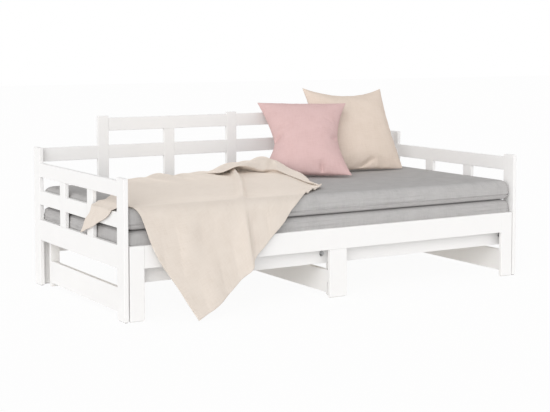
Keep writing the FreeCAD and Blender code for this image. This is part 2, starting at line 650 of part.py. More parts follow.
def pull_out_hardware():
    """Steel angles between runners and legs, and the nylon glides under the legs."""
    angles, glides = [], []
    height = "runner_bottom + runner_height - bracket_height - tenon_shoulder"
    for name, low in RUNNERS.items():
        for end, start, plate_y in (("front", LEG_REAR, LEG_REAR),
                                    ("rear", TIE_FACE + " - bracket_thick", TIE_FACE + " - bracket_size")):
            right_hand = name == "left" or (name == "middle" and end == "front")
            face = low + " + rail_thick" if right_hand else low
            arm_x = face if right_hand else face + " - bracket_size"
            plate_x = face if right_hand else face + " - bracket_thick"
            angle = doc.addObject("Part::Fuse", "angle")
            angle.Base = plain_box("angle_arm", (arm_x, start, height),
                                   ("bracket_size", "bracket_thick", "bracket_height"))
            angle.Tool = plain_box("angle_plate", (plate_x, plate_y, height),
                                   ("bracket_thick", "bracket_size", "bracket_height"))
            angles.append(angle)
        leg_width = "middle_leg_width" if name == "middle" else "front_leg_width"
        glides.append(pad_under("glide", (front_leg_low(name), FRONT), (leg_width, "rail_thick")))
        glides.append(pad_under("glide", (rear_leg_low(name), TIE_FACE), ("rear_leg_width", "rail_thick")))
    group("runner_angles", angles)
    group("floor_glides", glides)


def soft(label, shape):
    """A soft piece, kept as one shape."""
    feature = doc.addObject("Part::Feature", label)
    feature.Label = label
    feature.Shape = shape
    SUBPARTS.append(feature)
    return feature


def rounded_outline(half_x, half_y, radius, middle, height):
    """A rectangle with round corners: four lines and four quarter arcs."""
    edges = []
    for quarter, (sx, sy) in enumerate(((1, 1), (-1, 1), (-1, -1), (1, -1))):
        centre = V(sx * (half_x - radius), middle + sy * (half_y - radius), height)
        turn = quarter * math.pi / 2
        points = [centre + V(math.cos(turn + step), math.sin(turn + step), 0) * radius
                  for step in (0, math.pi / 4, math.pi / 2)]
        edges.append(Part.Arc(*points).toShape())
    corners = list(edges)
    for here, following in zip(corners, corners[1:] + corners[:1]):
        edges.append(Part.LineSegment(here.Vertexes[-1].Point, following.Vertexes[0].Point).toShape())
    return Part.Wire(Part.__sortEdges__(edges))


def mattress(label, bottom):
    """A foam mattress: rolled edges top and bottom, and sides that swell a little at mid height."""
    long_half, wide_half = cell("mattress_length") / 2, cell("mattress_width") / 2
    thick, roll, corner = cell("mattress_height"), cell("mattress_edge"), cell("mattress_corner")
    middle = measure("%s + slide_gap + mattress_width / 2" % LEG_REAR)
    lower = [(rise * roll, inset * roll) for rise, inset in ROLLED_EDGE]
    upper = [(thick - rise, inset) for rise, inset in reversed(lower)]
    levels = lower + [(thick / 2, 0)] + upper
    wires = [rounded_outline(long_half - inset, wide_half - inset, corner, middle, bottom + rise)
             for rise, inset in levels]
    return soft(label, Part.makeLoft(wires, True, True))


def pillow_outline(corner, side, height):
    """Four arcs through the corners and through the middles of the sides."""
    points = [V(sx * corner, sy * corner, height) for sx, sy in ((1, 1), (-1, 1), (-1, -1), (1, -1))]
    middles = [V(0, side, height), V(-side, 0, height), V(0, -side, height), V(side, 0, height)]
    arcs = [Part.Arc(points[i], middles[i], points[(i + 1) % 4]).toShape() for i in range(4)]
    return Part.Wire(arcs)


def cushion_shape():
    """A stuffed square: sides drawn in at the seam, outlines that grow rounder towards the crown."""
    half, crown, waist = cell("cushion_side") / 2, cell("cushion_crown"), cell("cushion_waist")
    wires = []
    for step in range(-CROWN_STEPS, CROWN_STEPS + 1):
        angle = math.radians(step * CROWN_ANGLE)
        shrink = math.cos(angle)
        side = (half - waist) * shrink ** SIDE_FULLNESS
        wires.append(pillow_outline(half * shrink, side, crown * math.sin(angle)))
    return Part.makeLoft(wires, True, True)


def posed(shape, turn, lean, along):
    """A cushion stood on edge, leant back, turned and moved along the bed."""
    result = shape.copy()
    stand = FreeCAD.Rotation(V(0, 0, 1), turn)
    tip = FreeCAD.Rotation(V(1, 0, 0), 90 - lean)
    sway = FreeCAD.Rotation(V(0, 0, 1), cell("cushion_sway"))
    result.Placement = FreeCAD.Placement(V(along, 0, 0), stand * tip * sway)
    return result


def settle(shape, floor, supports):
    """Sets a cushion down on its floor, then moves it back until it is a small gap from its support."""
    gap = cell("rest_gap")
    shape.translate(V(0, measure(FRONT), floor + gap - shape.BoundBox.ZMin))
    for _ in range(SETTLE_TRIES):
        apart = min(shape.distToShape(other)[0] for other in supports)
        if apart < 2 * gap:
            break
        shape.translate(V(0, apart - gap, 0))
    return shape


def wave(left, right, out, fold):
    """A cut across the throw: arcs from fold to fold, over the same arcs one cloth thickness below."""
    count = len(FOLDS)
    thick = out * cell("throw_thick")
    step = (right - left) / count
    valleys = [left + step * i for i in range(count + 1)]
    crests = [left + step * (i + 0.5) + out * (fold * FOLDS[i]) for i in range(count)]
    edges = [Part.LineSegment(end, end - thick).toShape() for end in (left, right)]
    for drop in (thick * 0, thick):
        for i in range(count):
            edges.append(Part.Arc(valleys[i] - drop, crests[i] - drop, valleys[i + 1] - drop).toShape())
    return Part.Wire(Part.__sortEdges__(edges))


def throw_shape(top, cushion_start):
    """The throw lies on the upper mattress, turns over its front and hangs to one corner near the floor."""
    front = measure(FRONT)
    mattress_front = measure("%s + slide_gap" % LEG_REAR)
    panel = -measure(INNER)
    room = cushion_start - panel
    lying = top + cell("rest_gap") + cell("throw_thick")
    tip = cell("throw_tip_height")
    cuts = [(start, end, mattress_front + part * cell("mattress_width"), lying, 0, fold)
            for start, end, part, fold in THROW_LYING]
    last = len(THROW_HANGING) - 1
    for step, (start, end, back, tilt, fold) in enumerate(THROW_HANGING):
        if step == last:
            crest = max(FOLDS) * fold * (end - start) * room
            back = crest * math.sin(math.radians(tilt)) - cell("throw_reach")
        cuts.append((start, end, front + back, lying - (lying - tip) * step / last, tilt, fold))
    wires = []
    for start, end, back, height, tilt, fold in cuts:
        angle = math.radians(tilt)
        out = V(0, -math.sin(angle), math.cos(angle))
        left, right = (V(panel + part * room, back, height) for part in (start, end))
        wires.append(wave(left, right, out, fold * (end - start) * room))
    return Part.makeLoft(wires, True, True)


def bedding():
    """Two mattresses, stacked on the slats, and the cushions and throw on the upper one."""
    gap = cell("rest_gap")
    lower_bottom = measure("slat_base + lift_gap + slat_thick + rest_gap")
    upper_bottom = lower_bottom + cell("mattress_height") + gap
    top = upper_bottom + cell("mattress_height")
    mattress("lower_mattress", lower_bottom)
    mattress("upper_mattress", upper_bottom)
    backs = [body.Shape for body in SUBPARTS if body.Label in LEANT_ON]
    plump = cushion_shape()
    beige = posed(plump, cell("beige_turn"), cell("beige_lean"), measure("%s - beige_along" % INNER))
    soft("beige_cushion", settle(beige, top, backs))
    pink = posed(plump, cell("pink_turn"), cell("pink_lean"), measure("%s - pink_along" % INNER))
    soft("pink_cushion", settle(pink, top, backs + [beige]))
    soft("throw", throw_shape(top, pink.BoundBox.XMin))


def finish():
    """Stops on any failed or empty shape, then writes one file for each sub-part."""
    doc.recompute()
    for thing in doc.Objects:
        if "Invalid" in thing.State or "Error" in thing.State:
            raise RuntimeError("%s failed: %s" % (thing.Label, thing.State))
    os.makedirs("parts", exist_ok=True)
    for part in SUBPARTS:
        if part.Shape.isNull() or not part.Shape.isValid():
            raise RuntimeError("%s has no valid shape" % part.Label)
        part.Shape.exportStep("parts/%s.step" % part.Label)
    print("%d sub-parts" % len(SUBPARTS))


for panel_side in ("left", "right"):
    side_panel(panel_side)
back_panel()
fixed_base()
fixed_hardware()
pull_out()
pull_out_hardware()
doc.recompute()
bedding()
finish()
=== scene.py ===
"""Pull-out day bed: paint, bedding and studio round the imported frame, laid out as an add-on."""
import json
import math

import bmesh
import bpy
import numpy as np
from bpy.props import FloatProperty, FloatVectorProperty, IntProperty, PointerProperty
from mathutils import Matrix, Vector


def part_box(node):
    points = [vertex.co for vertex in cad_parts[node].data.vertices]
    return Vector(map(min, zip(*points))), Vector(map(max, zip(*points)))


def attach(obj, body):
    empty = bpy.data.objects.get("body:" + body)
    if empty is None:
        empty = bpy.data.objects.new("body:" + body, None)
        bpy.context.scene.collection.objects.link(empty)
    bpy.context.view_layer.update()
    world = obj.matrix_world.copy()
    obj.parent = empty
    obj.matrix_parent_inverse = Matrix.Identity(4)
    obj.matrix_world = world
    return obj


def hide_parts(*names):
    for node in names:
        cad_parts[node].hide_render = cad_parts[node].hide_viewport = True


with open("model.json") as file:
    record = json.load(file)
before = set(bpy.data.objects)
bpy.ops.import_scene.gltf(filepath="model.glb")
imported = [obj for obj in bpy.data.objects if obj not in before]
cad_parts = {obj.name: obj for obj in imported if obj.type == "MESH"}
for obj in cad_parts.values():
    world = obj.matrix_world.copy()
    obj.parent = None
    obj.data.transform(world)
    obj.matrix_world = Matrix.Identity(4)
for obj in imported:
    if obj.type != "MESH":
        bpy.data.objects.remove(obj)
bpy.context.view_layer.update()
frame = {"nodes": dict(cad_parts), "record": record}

bl_info = {
    "name": "Pull-out day bed",
    "version": (1, 0, 0),
    "blender": (4, 5, 0),
    "location": "3D View > Sidebar > Day bed",
    "description": "Paint, bedding and studio for a day bed that pulls out to double width",
    "category": "Object",
}


def linear(code):
    """An sRGB hex colour as linear red, green and blue."""
    channels = np.array([int(code[at:at + 2], 16) for at in (1, 3, 5)]) / 255
    low = channels / 12.92
    high = ((channels + 0.055) / 1.055) ** 2.4
    return tuple(float(value) for value in np.where(channels <= 0.04045, low, high))


def colour(name, description, code):
    """A colour that a user may change."""
    return FloatVectorProperty(name=name, description=description, subtype="COLOR", size=3, min=0, max=1,
                               default=linear(code))


def length(name, description, default):
    """A length that a user may change, in metres."""
    return FloatProperty(name=name, description=description, unit="LENGTH", default=default, precision=4)


def turn(name, description, degrees):
    """An angle that a user may change."""
    return FloatProperty(name=name, description=description, subtype="ANGLE", default=math.radians(degrees))


class BedColours(bpy.types.PropertyGroup):
    """Colours of the bed and its dressing."""
    paint: colour("Paint", "White satin paint of the boards", "#F2F1F0")
    paint_shade: colour("Paint shade", "Where the paint lies a little thinner", "#EEEDEC")
    pine: colour("Pine", "Pale early wood of the slats", "#EEE6D8")
    pine_ring: colour("Pine ring", "Late wood of the slats", "#DED2BE")
    mattress: colour("Mattress yarn", "Lighter yarn of the mattress covers", "#BBB9B8")
    mattress_shade: colour("Mattress shade", "Darker yarn of the mattress covers", "#A4A2A1")
    beige: colour("Beige yarn", "Lighter yarn of the beige cushion", "#E2D3C6")
    beige_shade: colour("Beige shade", "Darker yarn of the beige cushion", "#D5C4B5")
    pink: colour("Pink yarn", "Lighter yarn of the pink cushion", "#DABBB9")
    pink_shade: colour("Pink shade", "Darker yarn of the pink cushion", "#CDABA8")
    throw: colour("Throw yarn", "Lighter yarn of the throw", "#DFD5CB")
    throw_shade: colour("Throw shade", "Darker yarn of the throw", "#D2C6BA")
    zinc: colour("Zinc", "Zinc plating of bolts and angles", "#D6D7D8")
    felt: colour("Felt", "Felt pads under the fixed frame", "#8E8983")
    nylon: colour("Nylon", "Glides under the pull-out", "#E4E2DC")


class BedSizes(bpy.types.PropertyGroup):
    """Sizes of the soft pieces."""
    mattress_roll: length("Mattress roll", "Radius of the upper mattress's upper edge", 0.030)
    mattress_heel: length("Mattress heel", "Height of the mattresses' rounded lower edges", 0.015)
    mattress_tuck: length("Mattress tuck", "How far the edges draw in where the mattresses meet", 0.036)
    mattress_corner: length("Mattress corner", "Corner radius of the mattresses in plan", 0.020)
    mattress_bulge: length("Mattress bulge", "How far the foam swells at the sides", 0.003)
    mattress_reach: length("Mattress reach", "How far the covers reach back past the solids", 0.060)
    seam_height: length("Seam height", "Height of the corded seam above a mattress's underside", 0.019)
    piping: length("Piping", "Radius of the corded seam", 0.0022)
    beige_side: length("Beige side", "Corner to corner along the beige cushion's side", 0.472)
    pink_side: length("Pink side", "Corner to corner along the pink cushion's side", 0.452)
    cushion_depth: length("Cushion depth", "Thickness of a cushion at its crown", 0.146)
    beige_sway: turn("Beige sway", "Turn of the beige cushion in its own plane", -1.7)
    pink_sway: turn("Pink sway", "Turn of the pink cushion in its own plane", -0.8)
    beige_turn: turn("Beige turn", "Turn of the beige cushion about the vertical", -3.0)
    beige_lean: turn("Beige lean", "Backward lean of the beige cushion", 31.0)
    pink_turn: turn("Pink turn", "Turn of the pink cushion about the vertical", -27.0)
    pink_lean: turn("Pink lean", "Backward lean of the pink cushion", 42.0)
    beige_lift: length("Beige lift", "How far the beige cushion stands above its solid's middle", 0.008)
    pink_lift: length("Pink lift", "How far the pink cushion stands above its solid's middle", 0.001)
    pressure: FloatProperty(name="Filling", description="Pressure of the filling", default=4.0)
    settle_frames: IntProperty(name="Settling steps", description="Steps of the cloth simulation", default=20)
    throw_thickness: length("Throw thickness", "Thickness of the throw", 0.0036)


class BedStage(bpy.types.PropertyGroup):
    """Studio and camera."""
    lens: FloatProperty(name="Lens", description="Focal length on a 36 mm sensor, millimetres",
                        default=83.618)
    drop: FloatProperty(name="Drop", description="Lens shift downwards, as a part of the frame's width",
                        default=0.1382)
    heading: turn("Heading", "Camera's turn to the right of the bed's depth axis", 31.192)
    tilt: turn("Tilt", "Camera's downward tilt", 4.037)
    place: FloatVectorProperty(name="Place", description="Camera position", subtype="XYZ", unit="LENGTH",
                               default=(-3.0913, -5.0103, 1.1196))
    sky: FloatProperty(name="Sky", description="Strength of the light from all round, at the horizon",
                       default=0.95)
    zenith: FloatProperty(name="Zenith", description="Strength of the light from straight above",
                          default=0.55)
    key: FloatProperty(name="Key", default=1.45,
                       description="Strength of the soft light from the front left, watts per square metre")
    floor: colour("Floor", "Pale studio floor", "#F6F5F4")


def bed(context):
    """The three groups of settings."""
    scene = context.scene
    return scene.bed_colours, scene.bed_sizes, scene.bed_stage


# Materials

def add(tree, kind, inputs=None, **settings):
    """Adds a node, sets its options, and sets or links its inputs."""
    made = tree.nodes.new(kind)
    for name, value in settings.items():
        setattr(made, name, value)
    for socket, value in (inputs or {}).items():
        if isinstance(value, bpy.types.NodeSocket):
            tree.links.new(value, made.inputs[socket])
        else:
            made.inputs[socket].default_value = value
    return made


def new_material(name):
    """An empty node material."""
    material = bpy.data.materials.new(name)
    material.use_nodes = True
    material.node_tree.nodes.clear()
    return material, material.node_tree


def opaque(rgb):
    """A linear colour with full alpha."""
    return (*rgb, 1.0)


# A wave texture of scale 1 repeats every 0.314 m.
WAVE_REPEAT = 0.314
# Grain lines of pine are about 3 mm apart and run on for about 200 mm. Bare wood shows finer ones.
GRAIN_WIDTH, GRAIN_RUN = 0.003, 0.2
FINE_GRAIN_WIDTH, FINE_GRAIN_RUN = 0.0015, 0.12
# Rings of late wood are about 6 mm apart across a slat, and drawn out along it, from front to back.
RING_GAP, RING_STRETCH = 0.006, (1.0, 0.06, 1.4)
# Uneven yarns show as streaks about 4 mm wide and 50 mm long.
STREAK_WIDTH, STREAK_RUN = 0.004, 0.05
# Scales of noise, one over the width of a patch in metres: about 110, 6, 1, 4.5, 70 and 330 mm.
PAINT_PATCHES, ZINC_PATCHES, FELT_FIBRES = 9.0, 160.0, 900.0
NYLON_HAZE, CLOTH_PATCHES, FLOOR_PATCHES = 220.0, 14.0, 3.0


def grain_lines(tree, coords, along, width, run):
    """Noise drawn out along one axis, as wood grain is."""
    scale = [1 / width] * 3
    scale[along] = 1 / run
    drawn = add(tree, "ShaderNodeMapping", {"Vector": coords.outputs["Object"], "Scale": scale})
    return add(tree, "ShaderNodeTexNoise", {"Vector": drawn.outputs[0], "Scale": 1.0, "Detail": 4.0,
                                            "Roughness": 0.6})


def white_paint(colours, along):
    """Satin white paint, rolled on planed pine: an even soft gloss, with the grain just felt under it."""
    material, tree = new_material("White satin paint on pine, along " + "XYZ"[along])
    coords = add(tree, "ShaderNodeTexCoord")
    grain = grain_lines(tree, coords, along, GRAIN_WIDTH, GRAIN_RUN)
    cloud = add(tree, "ShaderNodeTexNoise",
                {"Vector": coords.outputs["Object"], "Scale": PAINT_PATCHES, "Detail": 3.0})
    tint = add(tree, "ShaderNodeMix",
               {0: cloud.outputs[0], 6: opaque(colours.paint), 7: opaque(colours.paint_shade)},
               data_type="RGBA")
    gloss = add(tree, "ShaderNodeMapRange", {"Value": grain.outputs[0], "To Min": 0.34, "To Max": 0.52})
    relief = add(tree, "ShaderNodeBump", {"Height": grain.outputs[0], "Strength": 0.22, "Distance": 0.0005})
    shader = add(tree, "ShaderNodeBsdfPrincipled",
                 {"Base Color": tint.outputs[2], "Roughness": gloss.outputs[0], "Normal": relief.outputs[0],
                  "IOR": 1.5})
    add(tree, "ShaderNodeOutputMaterial", {"Surface": shader.outputs[0]})
    return material


def bare_pine(colours):
    """Planed, unfinished pine: pale wood with darker late-wood rings that wander along each slat."""
    material, tree = new_material("Bare planed pine")
    coords = add(tree, "ShaderNodeTexCoord")
    flat = add(tree, "ShaderNodeMapping", {"Vector": coords.outputs["Object"], "Scale": RING_STRETCH})
    rings = add(tree, "ShaderNodeTexWave",
                {"Vector": flat.outputs[0], "Scale": WAVE_REPEAT / RING_GAP, "Distortion": 5.0, "Detail": 2.0,
                 "Detail Scale": 0.6}, bands_direction="X")
    fine = grain_lines(tree, coords, 1, FINE_GRAIN_WIDTH, FINE_GRAIN_RUN)
    mixed = add(tree, "ShaderNodeMath", {0: rings.outputs["Fac"], 1: fine.outputs[0]}, operation="MULTIPLY")
    tint = add(tree, "ShaderNodeMix",
               {0: mixed.outputs[0], 6: opaque(colours.pine), 7: opaque(colours.pine_ring)},
               data_type="RGBA")
    relief = add(tree, "ShaderNodeBump", {"Height": fine.outputs[0], "Strength": 0.3, "Distance": 0.0004})
    shader = add(tree, "ShaderNodeBsdfPrincipled",
                 {"Base Color": tint.outputs[2], "Roughness": 0.62, "Normal": relief.outputs[0], "IOR": 1.5})
    add(tree, "ShaderNodeOutputMaterial", {"Surface": shader.outputs[0]})
    return material


def zinc_plate(colours):
    """Bright zinc plating on steel: a cool metal with cloudy patches in its gloss."""
    material, tree = new_material("Zinc plated steel")
    coords = add(tree, "ShaderNodeTexCoord")
    cloud = add(tree, "ShaderNodeTexNoise",
                {"Vector": coords.outputs["Object"], "Scale": ZINC_PATCHES, "Detail": 4.0})
    gloss = add(tree, "ShaderNodeMapRange", {"Value": cloud.outputs[0], "To Min": 0.45, "To Max": 0.62})
    shader = add(tree, "ShaderNodeBsdfPrincipled",
                 {"Base Color": opaque(colours.zinc), "Metallic": 1.0, "Roughness": gloss.outputs[0]})
    add(tree, "ShaderNodeOutputMaterial", {"Surface": shader.outputs[0]})
    return material


def pressed_felt(colours):
    """Needled felt: matt, with short fibres that mottle it."""
    material, tree = new_material("Grey needled felt")
    coords = add(tree, "ShaderNodeTexCoord")
    fibres = add(tree, "ShaderNodeTexNoise",
                 {"Vector": coords.outputs["Object"], "Scale": FELT_FIBRES, "Detail": 5.0})
    darker = [value * 0.6 for value in colours.felt]
    tint = add(tree, "ShaderNodeMix",
               {0: fibres.outputs[0], 6: opaque(colours.felt), 7: opaque(darker)}, data_type="RGBA")
    relief = add(tree, "ShaderNodeBump", {"Height": fibres.outputs[0], "Strength": 0.5, "Distance": 0.0006})
    shader = add(tree, "ShaderNodeBsdfPrincipled",
                 {"Base Color": tint.outputs[2], "Roughness": 0.95, "Normal": relief.outputs[0]})
    add(tree, "ShaderNodeOutputMaterial", {"Surface": shader.outputs[0]})
    return material


def moulded_nylon(colours):
    """Moulded natural nylon: waxy off-white with a faint moulding haze."""
    material, tree = new_material("Natural moulded nylon")
    coords = add(tree, "ShaderNodeTexCoord")
    haze = add(tree, "ShaderNodeTexNoise",
               {"Vector": coords.outputs["Object"], "Scale": NYLON_HAZE, "Detail": 3.0})
    gloss = add(tree, "ShaderNodeMapRange", {"Value": haze.outputs[0], "To Min": 0.3, "To Max": 0.5})
    shader = add(tree, "ShaderNodeBsdfPrincipled",
                 {"Base Color": opaque(colours.nylon), "Roughness": gloss.outputs[0], "IOR": 1.53,
                  "Subsurface Weight": 0.1})
    add(tree, "ShaderNodeOutputMaterial", {"Surface": shader.outputs[0]})
    return material


def woven_cloth(name, yarn, shade, pitch, relief_depth, sheen):
    """Plain woven cloth: warp and weft cross as small pillows, uneven yarns make a soft mottle of two tones.

    The piece's own map is in metres. A wave repeats once for each yarn, and streaks run both ways.
    """
    material, tree = new_material(name)
    weave = add(tree, "ShaderNodeUVMap", uv_map="weave")
    yarns = [add(tree, "ShaderNodeTexWave",
                 {"Vector": weave.outputs[0], "Scale": WAVE_REPEAT / pitch, "Distortion": 0.6, "Detail": 1.0,
                  "Detail Scale": 0.4}, bands_direction=way) for way in "XY"]
    crossing = add(tree, "ShaderNodeMath", {0: yarns[0].outputs["Fac"], 1: yarns[1].outputs["Fac"]},
                   operation="MULTIPLY")
    long, short = 1 / STREAK_RUN, 1 / STREAK_WIDTH
    streaks = []
    for scale in ((long, short, 1.0), (short, long, 1.0)):
        drawn = add(tree, "ShaderNodeMapping", {"Vector": weave.outputs[0], "Scale": scale})
        streaks.append(add(tree, "ShaderNodeTexNoise",
                           {"Vector": drawn.outputs[0], "Scale": 1.0, "Detail": 3.0}))
    slub = add(tree, "ShaderNodeMath", {0: streaks[0].outputs[0], 1: streaks[1].outputs[0]},
               operation="MULTIPLY")
    cloud = add(tree, "ShaderNodeTexNoise",
                {"Vector": weave.outputs[0], "Scale": CLOTH_PATCHES, "Detail": 3.0})
    uneven = add(tree, "ShaderNodeMath", {0: slub.outputs[0], 1: 1.5}, operation="MULTIPLY")
    tone = add(tree, "ShaderNodeMath", {0: uneven.outputs[0], 1: cloud.outputs[0]}, operation="MULTIPLY")
    spread = add(tree, "ShaderNodeMapRange", {"Value": tone.outputs[0], "From Min": 0.05, "From Max": 0.5})
    tint = add(tree, "ShaderNodeMix", {0: spread.outputs[0], 6: opaque(yarn), 7: opaque(shade)},
               data_type="RGBA")
    relief = add(tree, "ShaderNodeBump",
                 {"Height": crossing.outputs[0], "Strength": 0.35, "Distance": relief_depth})
    shader = add(tree, "ShaderNodeBsdfPrincipled",
                 {"Base Color": tint.outputs[2], "Roughness": 0.88, "Normal": relief.outputs[0],
                  "Sheen Weight": sheen, "Sheen Tint": opaque(yarn), "Sheen Roughness": 0.5})
    add(tree, "ShaderNodeOutputMaterial", {"Surface": shader.outputs[0]})
    return material


# Meshes

def grid_faces(rows, columns, start=0, flip=False):
    """Quads of a grid of points whose columns run fastest."""
    corner = start + np.arange(rows - 1)[:, None] * columns + np.arange(columns - 1)[None, :]
    faces = np.stack([corner, corner + 1, corner + columns + 1, corner + columns], axis=-1).reshape(-1, 4)
    return faces[:, ::-1] if flip else faces


def ring_faces(rows, columns):
    """Quads of closed rings, one ring to a row."""
    here = np.arange(columns)
    after = (here + 1) % columns
    low = np.arange(rows - 1)[:, None] * columns
    faces = np.stack([low + here, low + after, low + columns + after, low + columns + here], axis=-1)
    return faces.reshape(-1, 4)


def tube_faces(sides, count, start):
    """Quads of a tube that closes both round itself and along its run."""
    here = start + np.arange(sides * count).reshape(sides, count)
    above = np.roll(here, -1, axis=0)
    faces = np.stack([here, np.roll(here, -1, axis=1), np.roll(above, -1, axis=1), above], axis=-1)
    return faces.reshape(-1, 4)


def mesh_object(name, points, faces, weave, materials, merge=0.0):
    """A smooth mesh object with a map in metres called weave; equal points can be merged."""
    mesh = bpy.data.meshes.new(name)
    mesh.from_pydata(np.asarray(points).tolist(), [], np.asarray(faces).tolist())
    layer = mesh.uv_layers.new(name="weave")
    loops = np.empty(len(mesh.loops), np.int32)
    mesh.loops.foreach_get("vertex_index", loops)
    layer.data.foreach_set("uv", np.asarray(weave, np.float32)[loops].ravel())
    if merge:
        work = bmesh.new()
        work.from_mesh(mesh)
        bmesh.ops.remove_doubles(work, verts=work.verts, dist=merge)
        bmesh.ops.recalc_face_normals(work, faces=work.faces)
        work.to_mesh(mesh)
        work.free()
    mesh.polygons.foreach_set("use_smooth", np.ones(len(mesh.polygons), bool))
    mesh.update()
    piece = bpy.data.objects.new(name, mesh)
    bpy.context.scene.collection.objects.link(piece)
    for material in materials:
        mesh.materials.append(material)
    return piece


def smooth_step(low, high, value):
    """0 below low, 1 above high, and an even rise between."""
    part = np.clip((value - low) / (high - low), 0, 1)
    return part * part * (3 - 2 * part)


def smooth_curve(points, count):
    """Count points, evenly spaced by length, on a cubic through the given points."""
    points = np.asarray(points, float)
    run = np.concatenate(([0], np.cumsum(np.linalg.norm(np.diff(points, axis=0), axis=1))))
    slope = np.gradient(points, run, axis=0)
    at = np.linspace(0, run[-1], count)
    low = np.clip(np.searchsorted(run, at, side="right") - 1, 0, len(points) - 2)
    span = (run[low + 1] - run[low])[:, None]
    part = (at - run[low])[:, None] / span
    rest = 1 - part
    return ((1 + 2 * part) * rest ** 2 * points[low] + part * rest ** 2 * span * slope[low]
            + part ** 2 * (3 - 2 * part) * points[low + 1] - part ** 2 * rest * span * slope[low + 1])


RIPPLE_WAYS = 3


def ripple(first, second, waves, seed):
    """A sum of sine waves in seeded directions, between about -1 and 1: (cycles per metre, share) each."""
    draw = np.random.default_rng(seed)
    total = np.zeros(np.broadcast(first, second).shape)
    for cycles, share in waves:
        for angle, phase in draw.uniform(0, 2 * np.pi, (RIPPLE_WAYS, 2)):
            along = first * np.cos(angle) + second * np.sin(angle)
            total += share / RIPPLE_WAYS * np.sin(2 * np.pi * cycles * along + phase)
    return total


def bump(value, middle, width):
    """A smooth hump of height 1."""
    return np.exp(-((value - middle) / width) ** 2)


def run_length(x, y):
    """Length along a line of points, from 0 at the first one."""
    return np.concatenate([[0], np.cumsum(np.hypot(np.diff(x), np.diff(y)))])


def fill_sides(front, rear, left, right):
    """A grid that fills four sides: opposite sides blended across, less the blend of the four corners."""
    u = np.linspace(0, 1, len(front))[:, None, None]
    v = np.linspace(0, 1, len(left))[None, :, None]
    front, rear, left, right = front[:, None], rear[:, None], left[None], right[None]
    corners = ((1 - u) * (1 - v) * front[:1] + u * (1 - v) * front[-1:]
               + (1 - u) * v * rear[:1] + u * v * rear[-1:])
    patch = (1 - v) * front + v * rear + (1 - u) * left + u * right - corners
    return patch[..., 0], patch[..., 1]


def side_of_ring(half_along, half_out, radius, count, closed):
    """One side of a rounded rectangle, from the middle of one corner arc to the middle of the next.

    Positions run evenly by length: an eighth of a circle, a straight run, an eighth of a circle. Insets come
    as columns, so that one call gives the side at every level.
    """
    arc = radius * np.pi / 4
    straight = 2 * (half_along - radius)
    at = np.linspace(0, 1, count + 1)[None, :count + closed] * (2 * arc + straight) - arc
    flat = np.clip(at, 0, straight)
    angle = (at - flat) / radius
    along = flat - (half_along - radius) + radius * np.sin(angle)
    out = half_out - radius + radius * np.cos(angle)
    return along, out


def rounded_rings(half_x, half_y, radius, inset, counts):
    """Rings of a rounded rectangle, one row for each inset, counter-clockwise from the front left corner."""
    inset = np.asarray(inset, float)[:, None]
    size_x, size_y, corner = half_x - inset, half_y - inset, np.full_like(inset, radius)
    nx, ny = counts
    long_side = side_of_ring(size_x, size_y, corner, nx, False)
    short_side = side_of_ring(size_y, size_x, corner, ny, False)
    x = np.concatenate([long_side[0], short_side[1], -long_side[0], -short_side[1]], axis=1)
    y = np.concatenate([-long_side[1], short_side[0], long_side[1], -short_side[0]], axis=1)
    return x, y


def filled_ring(half_x, half_y, radius, counts):
    """A grid that fills a rounded rectangle."""
    nx, ny = counts
    size = np.array([[0.0]])
    along, out = side_of_ring(half_x + size, half_y + size, radius + size, nx, True)
    front = np.stack([along[0], -out[0]], axis=-1)
    along, out = side_of_ring(half_y + size, half_x + size, radius + size, ny, True)
    right = np.stack([out[0], along[0]], axis=-1)
    return fill_sides(front, front * (1, -1), right * (-1, 1), right)


# Frame

LONG_BOARDS = ("back_mid_rail", "back_left_crown_rail", "back_right_crown_rail", "back_lower_rail",
               "fixed_left_beam", "fixed_right_beam", "rear_slat_ledger", "pull_out_front_rail",
               "pull_out_slat_ledger", "pull_out_rear_tie")
DEEP_BOARDS = ("top_rail", "mid_rail", "lower_rail", "runner")


class BED_OT_finish_frame(bpy.types.Operator):
    """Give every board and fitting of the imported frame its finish"""
    bl_idname = "bed.finish_frame"
    bl_label = "Finish the frame"

    def execute(self, context):
        colours = bed(context)[0]
        paints = [white_paint(colours, along) for along in range(3)]
        others = {"bare_pine": bare_pine(colours), "zinc_steel": zinc_plate(colours),
                  "felt": pressed_felt(colours), "nylon": moulded_nylon(colours)}
        slots = {part["node"]: part["material_slot"] for part in frame["record"]["subparts"]}
        for name, node in frame["nodes"].items():
            along = 2
            if name in LONG_BOARDS:
                along = 0
            elif name.endswith(DEEP_BOARDS):
                along = 1
            material = others.get(slots[name], paints[along])
            node.data.materials.clear()
            node.data.materials.append(material)
        return {"FINISHED"}


# Mattresses

# Cells along and across a mattress, levels down its side and round an edge, and sides of the corded seam.
MATTRESS_GRID = (190, 84)
SIDE_LEVELS, ROLL_LEVELS, CORD_SIDES = 41, 12, 8
# The cover draws in above the corded seam: how deep, how far above the cord and over what height. The cord's
# middle stands out from the side by a part of its radius.
GROOVE_DEPTH, GROOVE_RISE, GROOVE_HEIGHT = 0.0035, 0.0045, 0.0028
CORD_STANDS_OUT = 0.35
# Shallow lines along the sides: depth, spacing, wander in radians, and the part of the upper roll that has
# none. They fade in and out by slow waves: cycles per metre with shares, and the values between which.
LINE_DEPTH, LINE_GAP, LINE_WANDER, LINE_FREE = 0.0014, 0.019, 2.4, 0.2
LINE_WAVES, LINE_FADES = ((1.1, 1.2), (2.7, 0.8)), (-0.2, 0.7)
# Slow waves of the top: height, how far from the edge they are full, and cycles per metre with shares.
SWELL, SWELL_FULL_AT = 0.0022, 0.16
SWELL_WAVES = ((0.9, 0.6), (2.3, 0.3), (6.0, 0.1))
# The lower mattress is pressed: its upper roll has this part of the other one's height.
PRESSED_ROLL = 0.6
MERGE_WITHIN = 1e-6


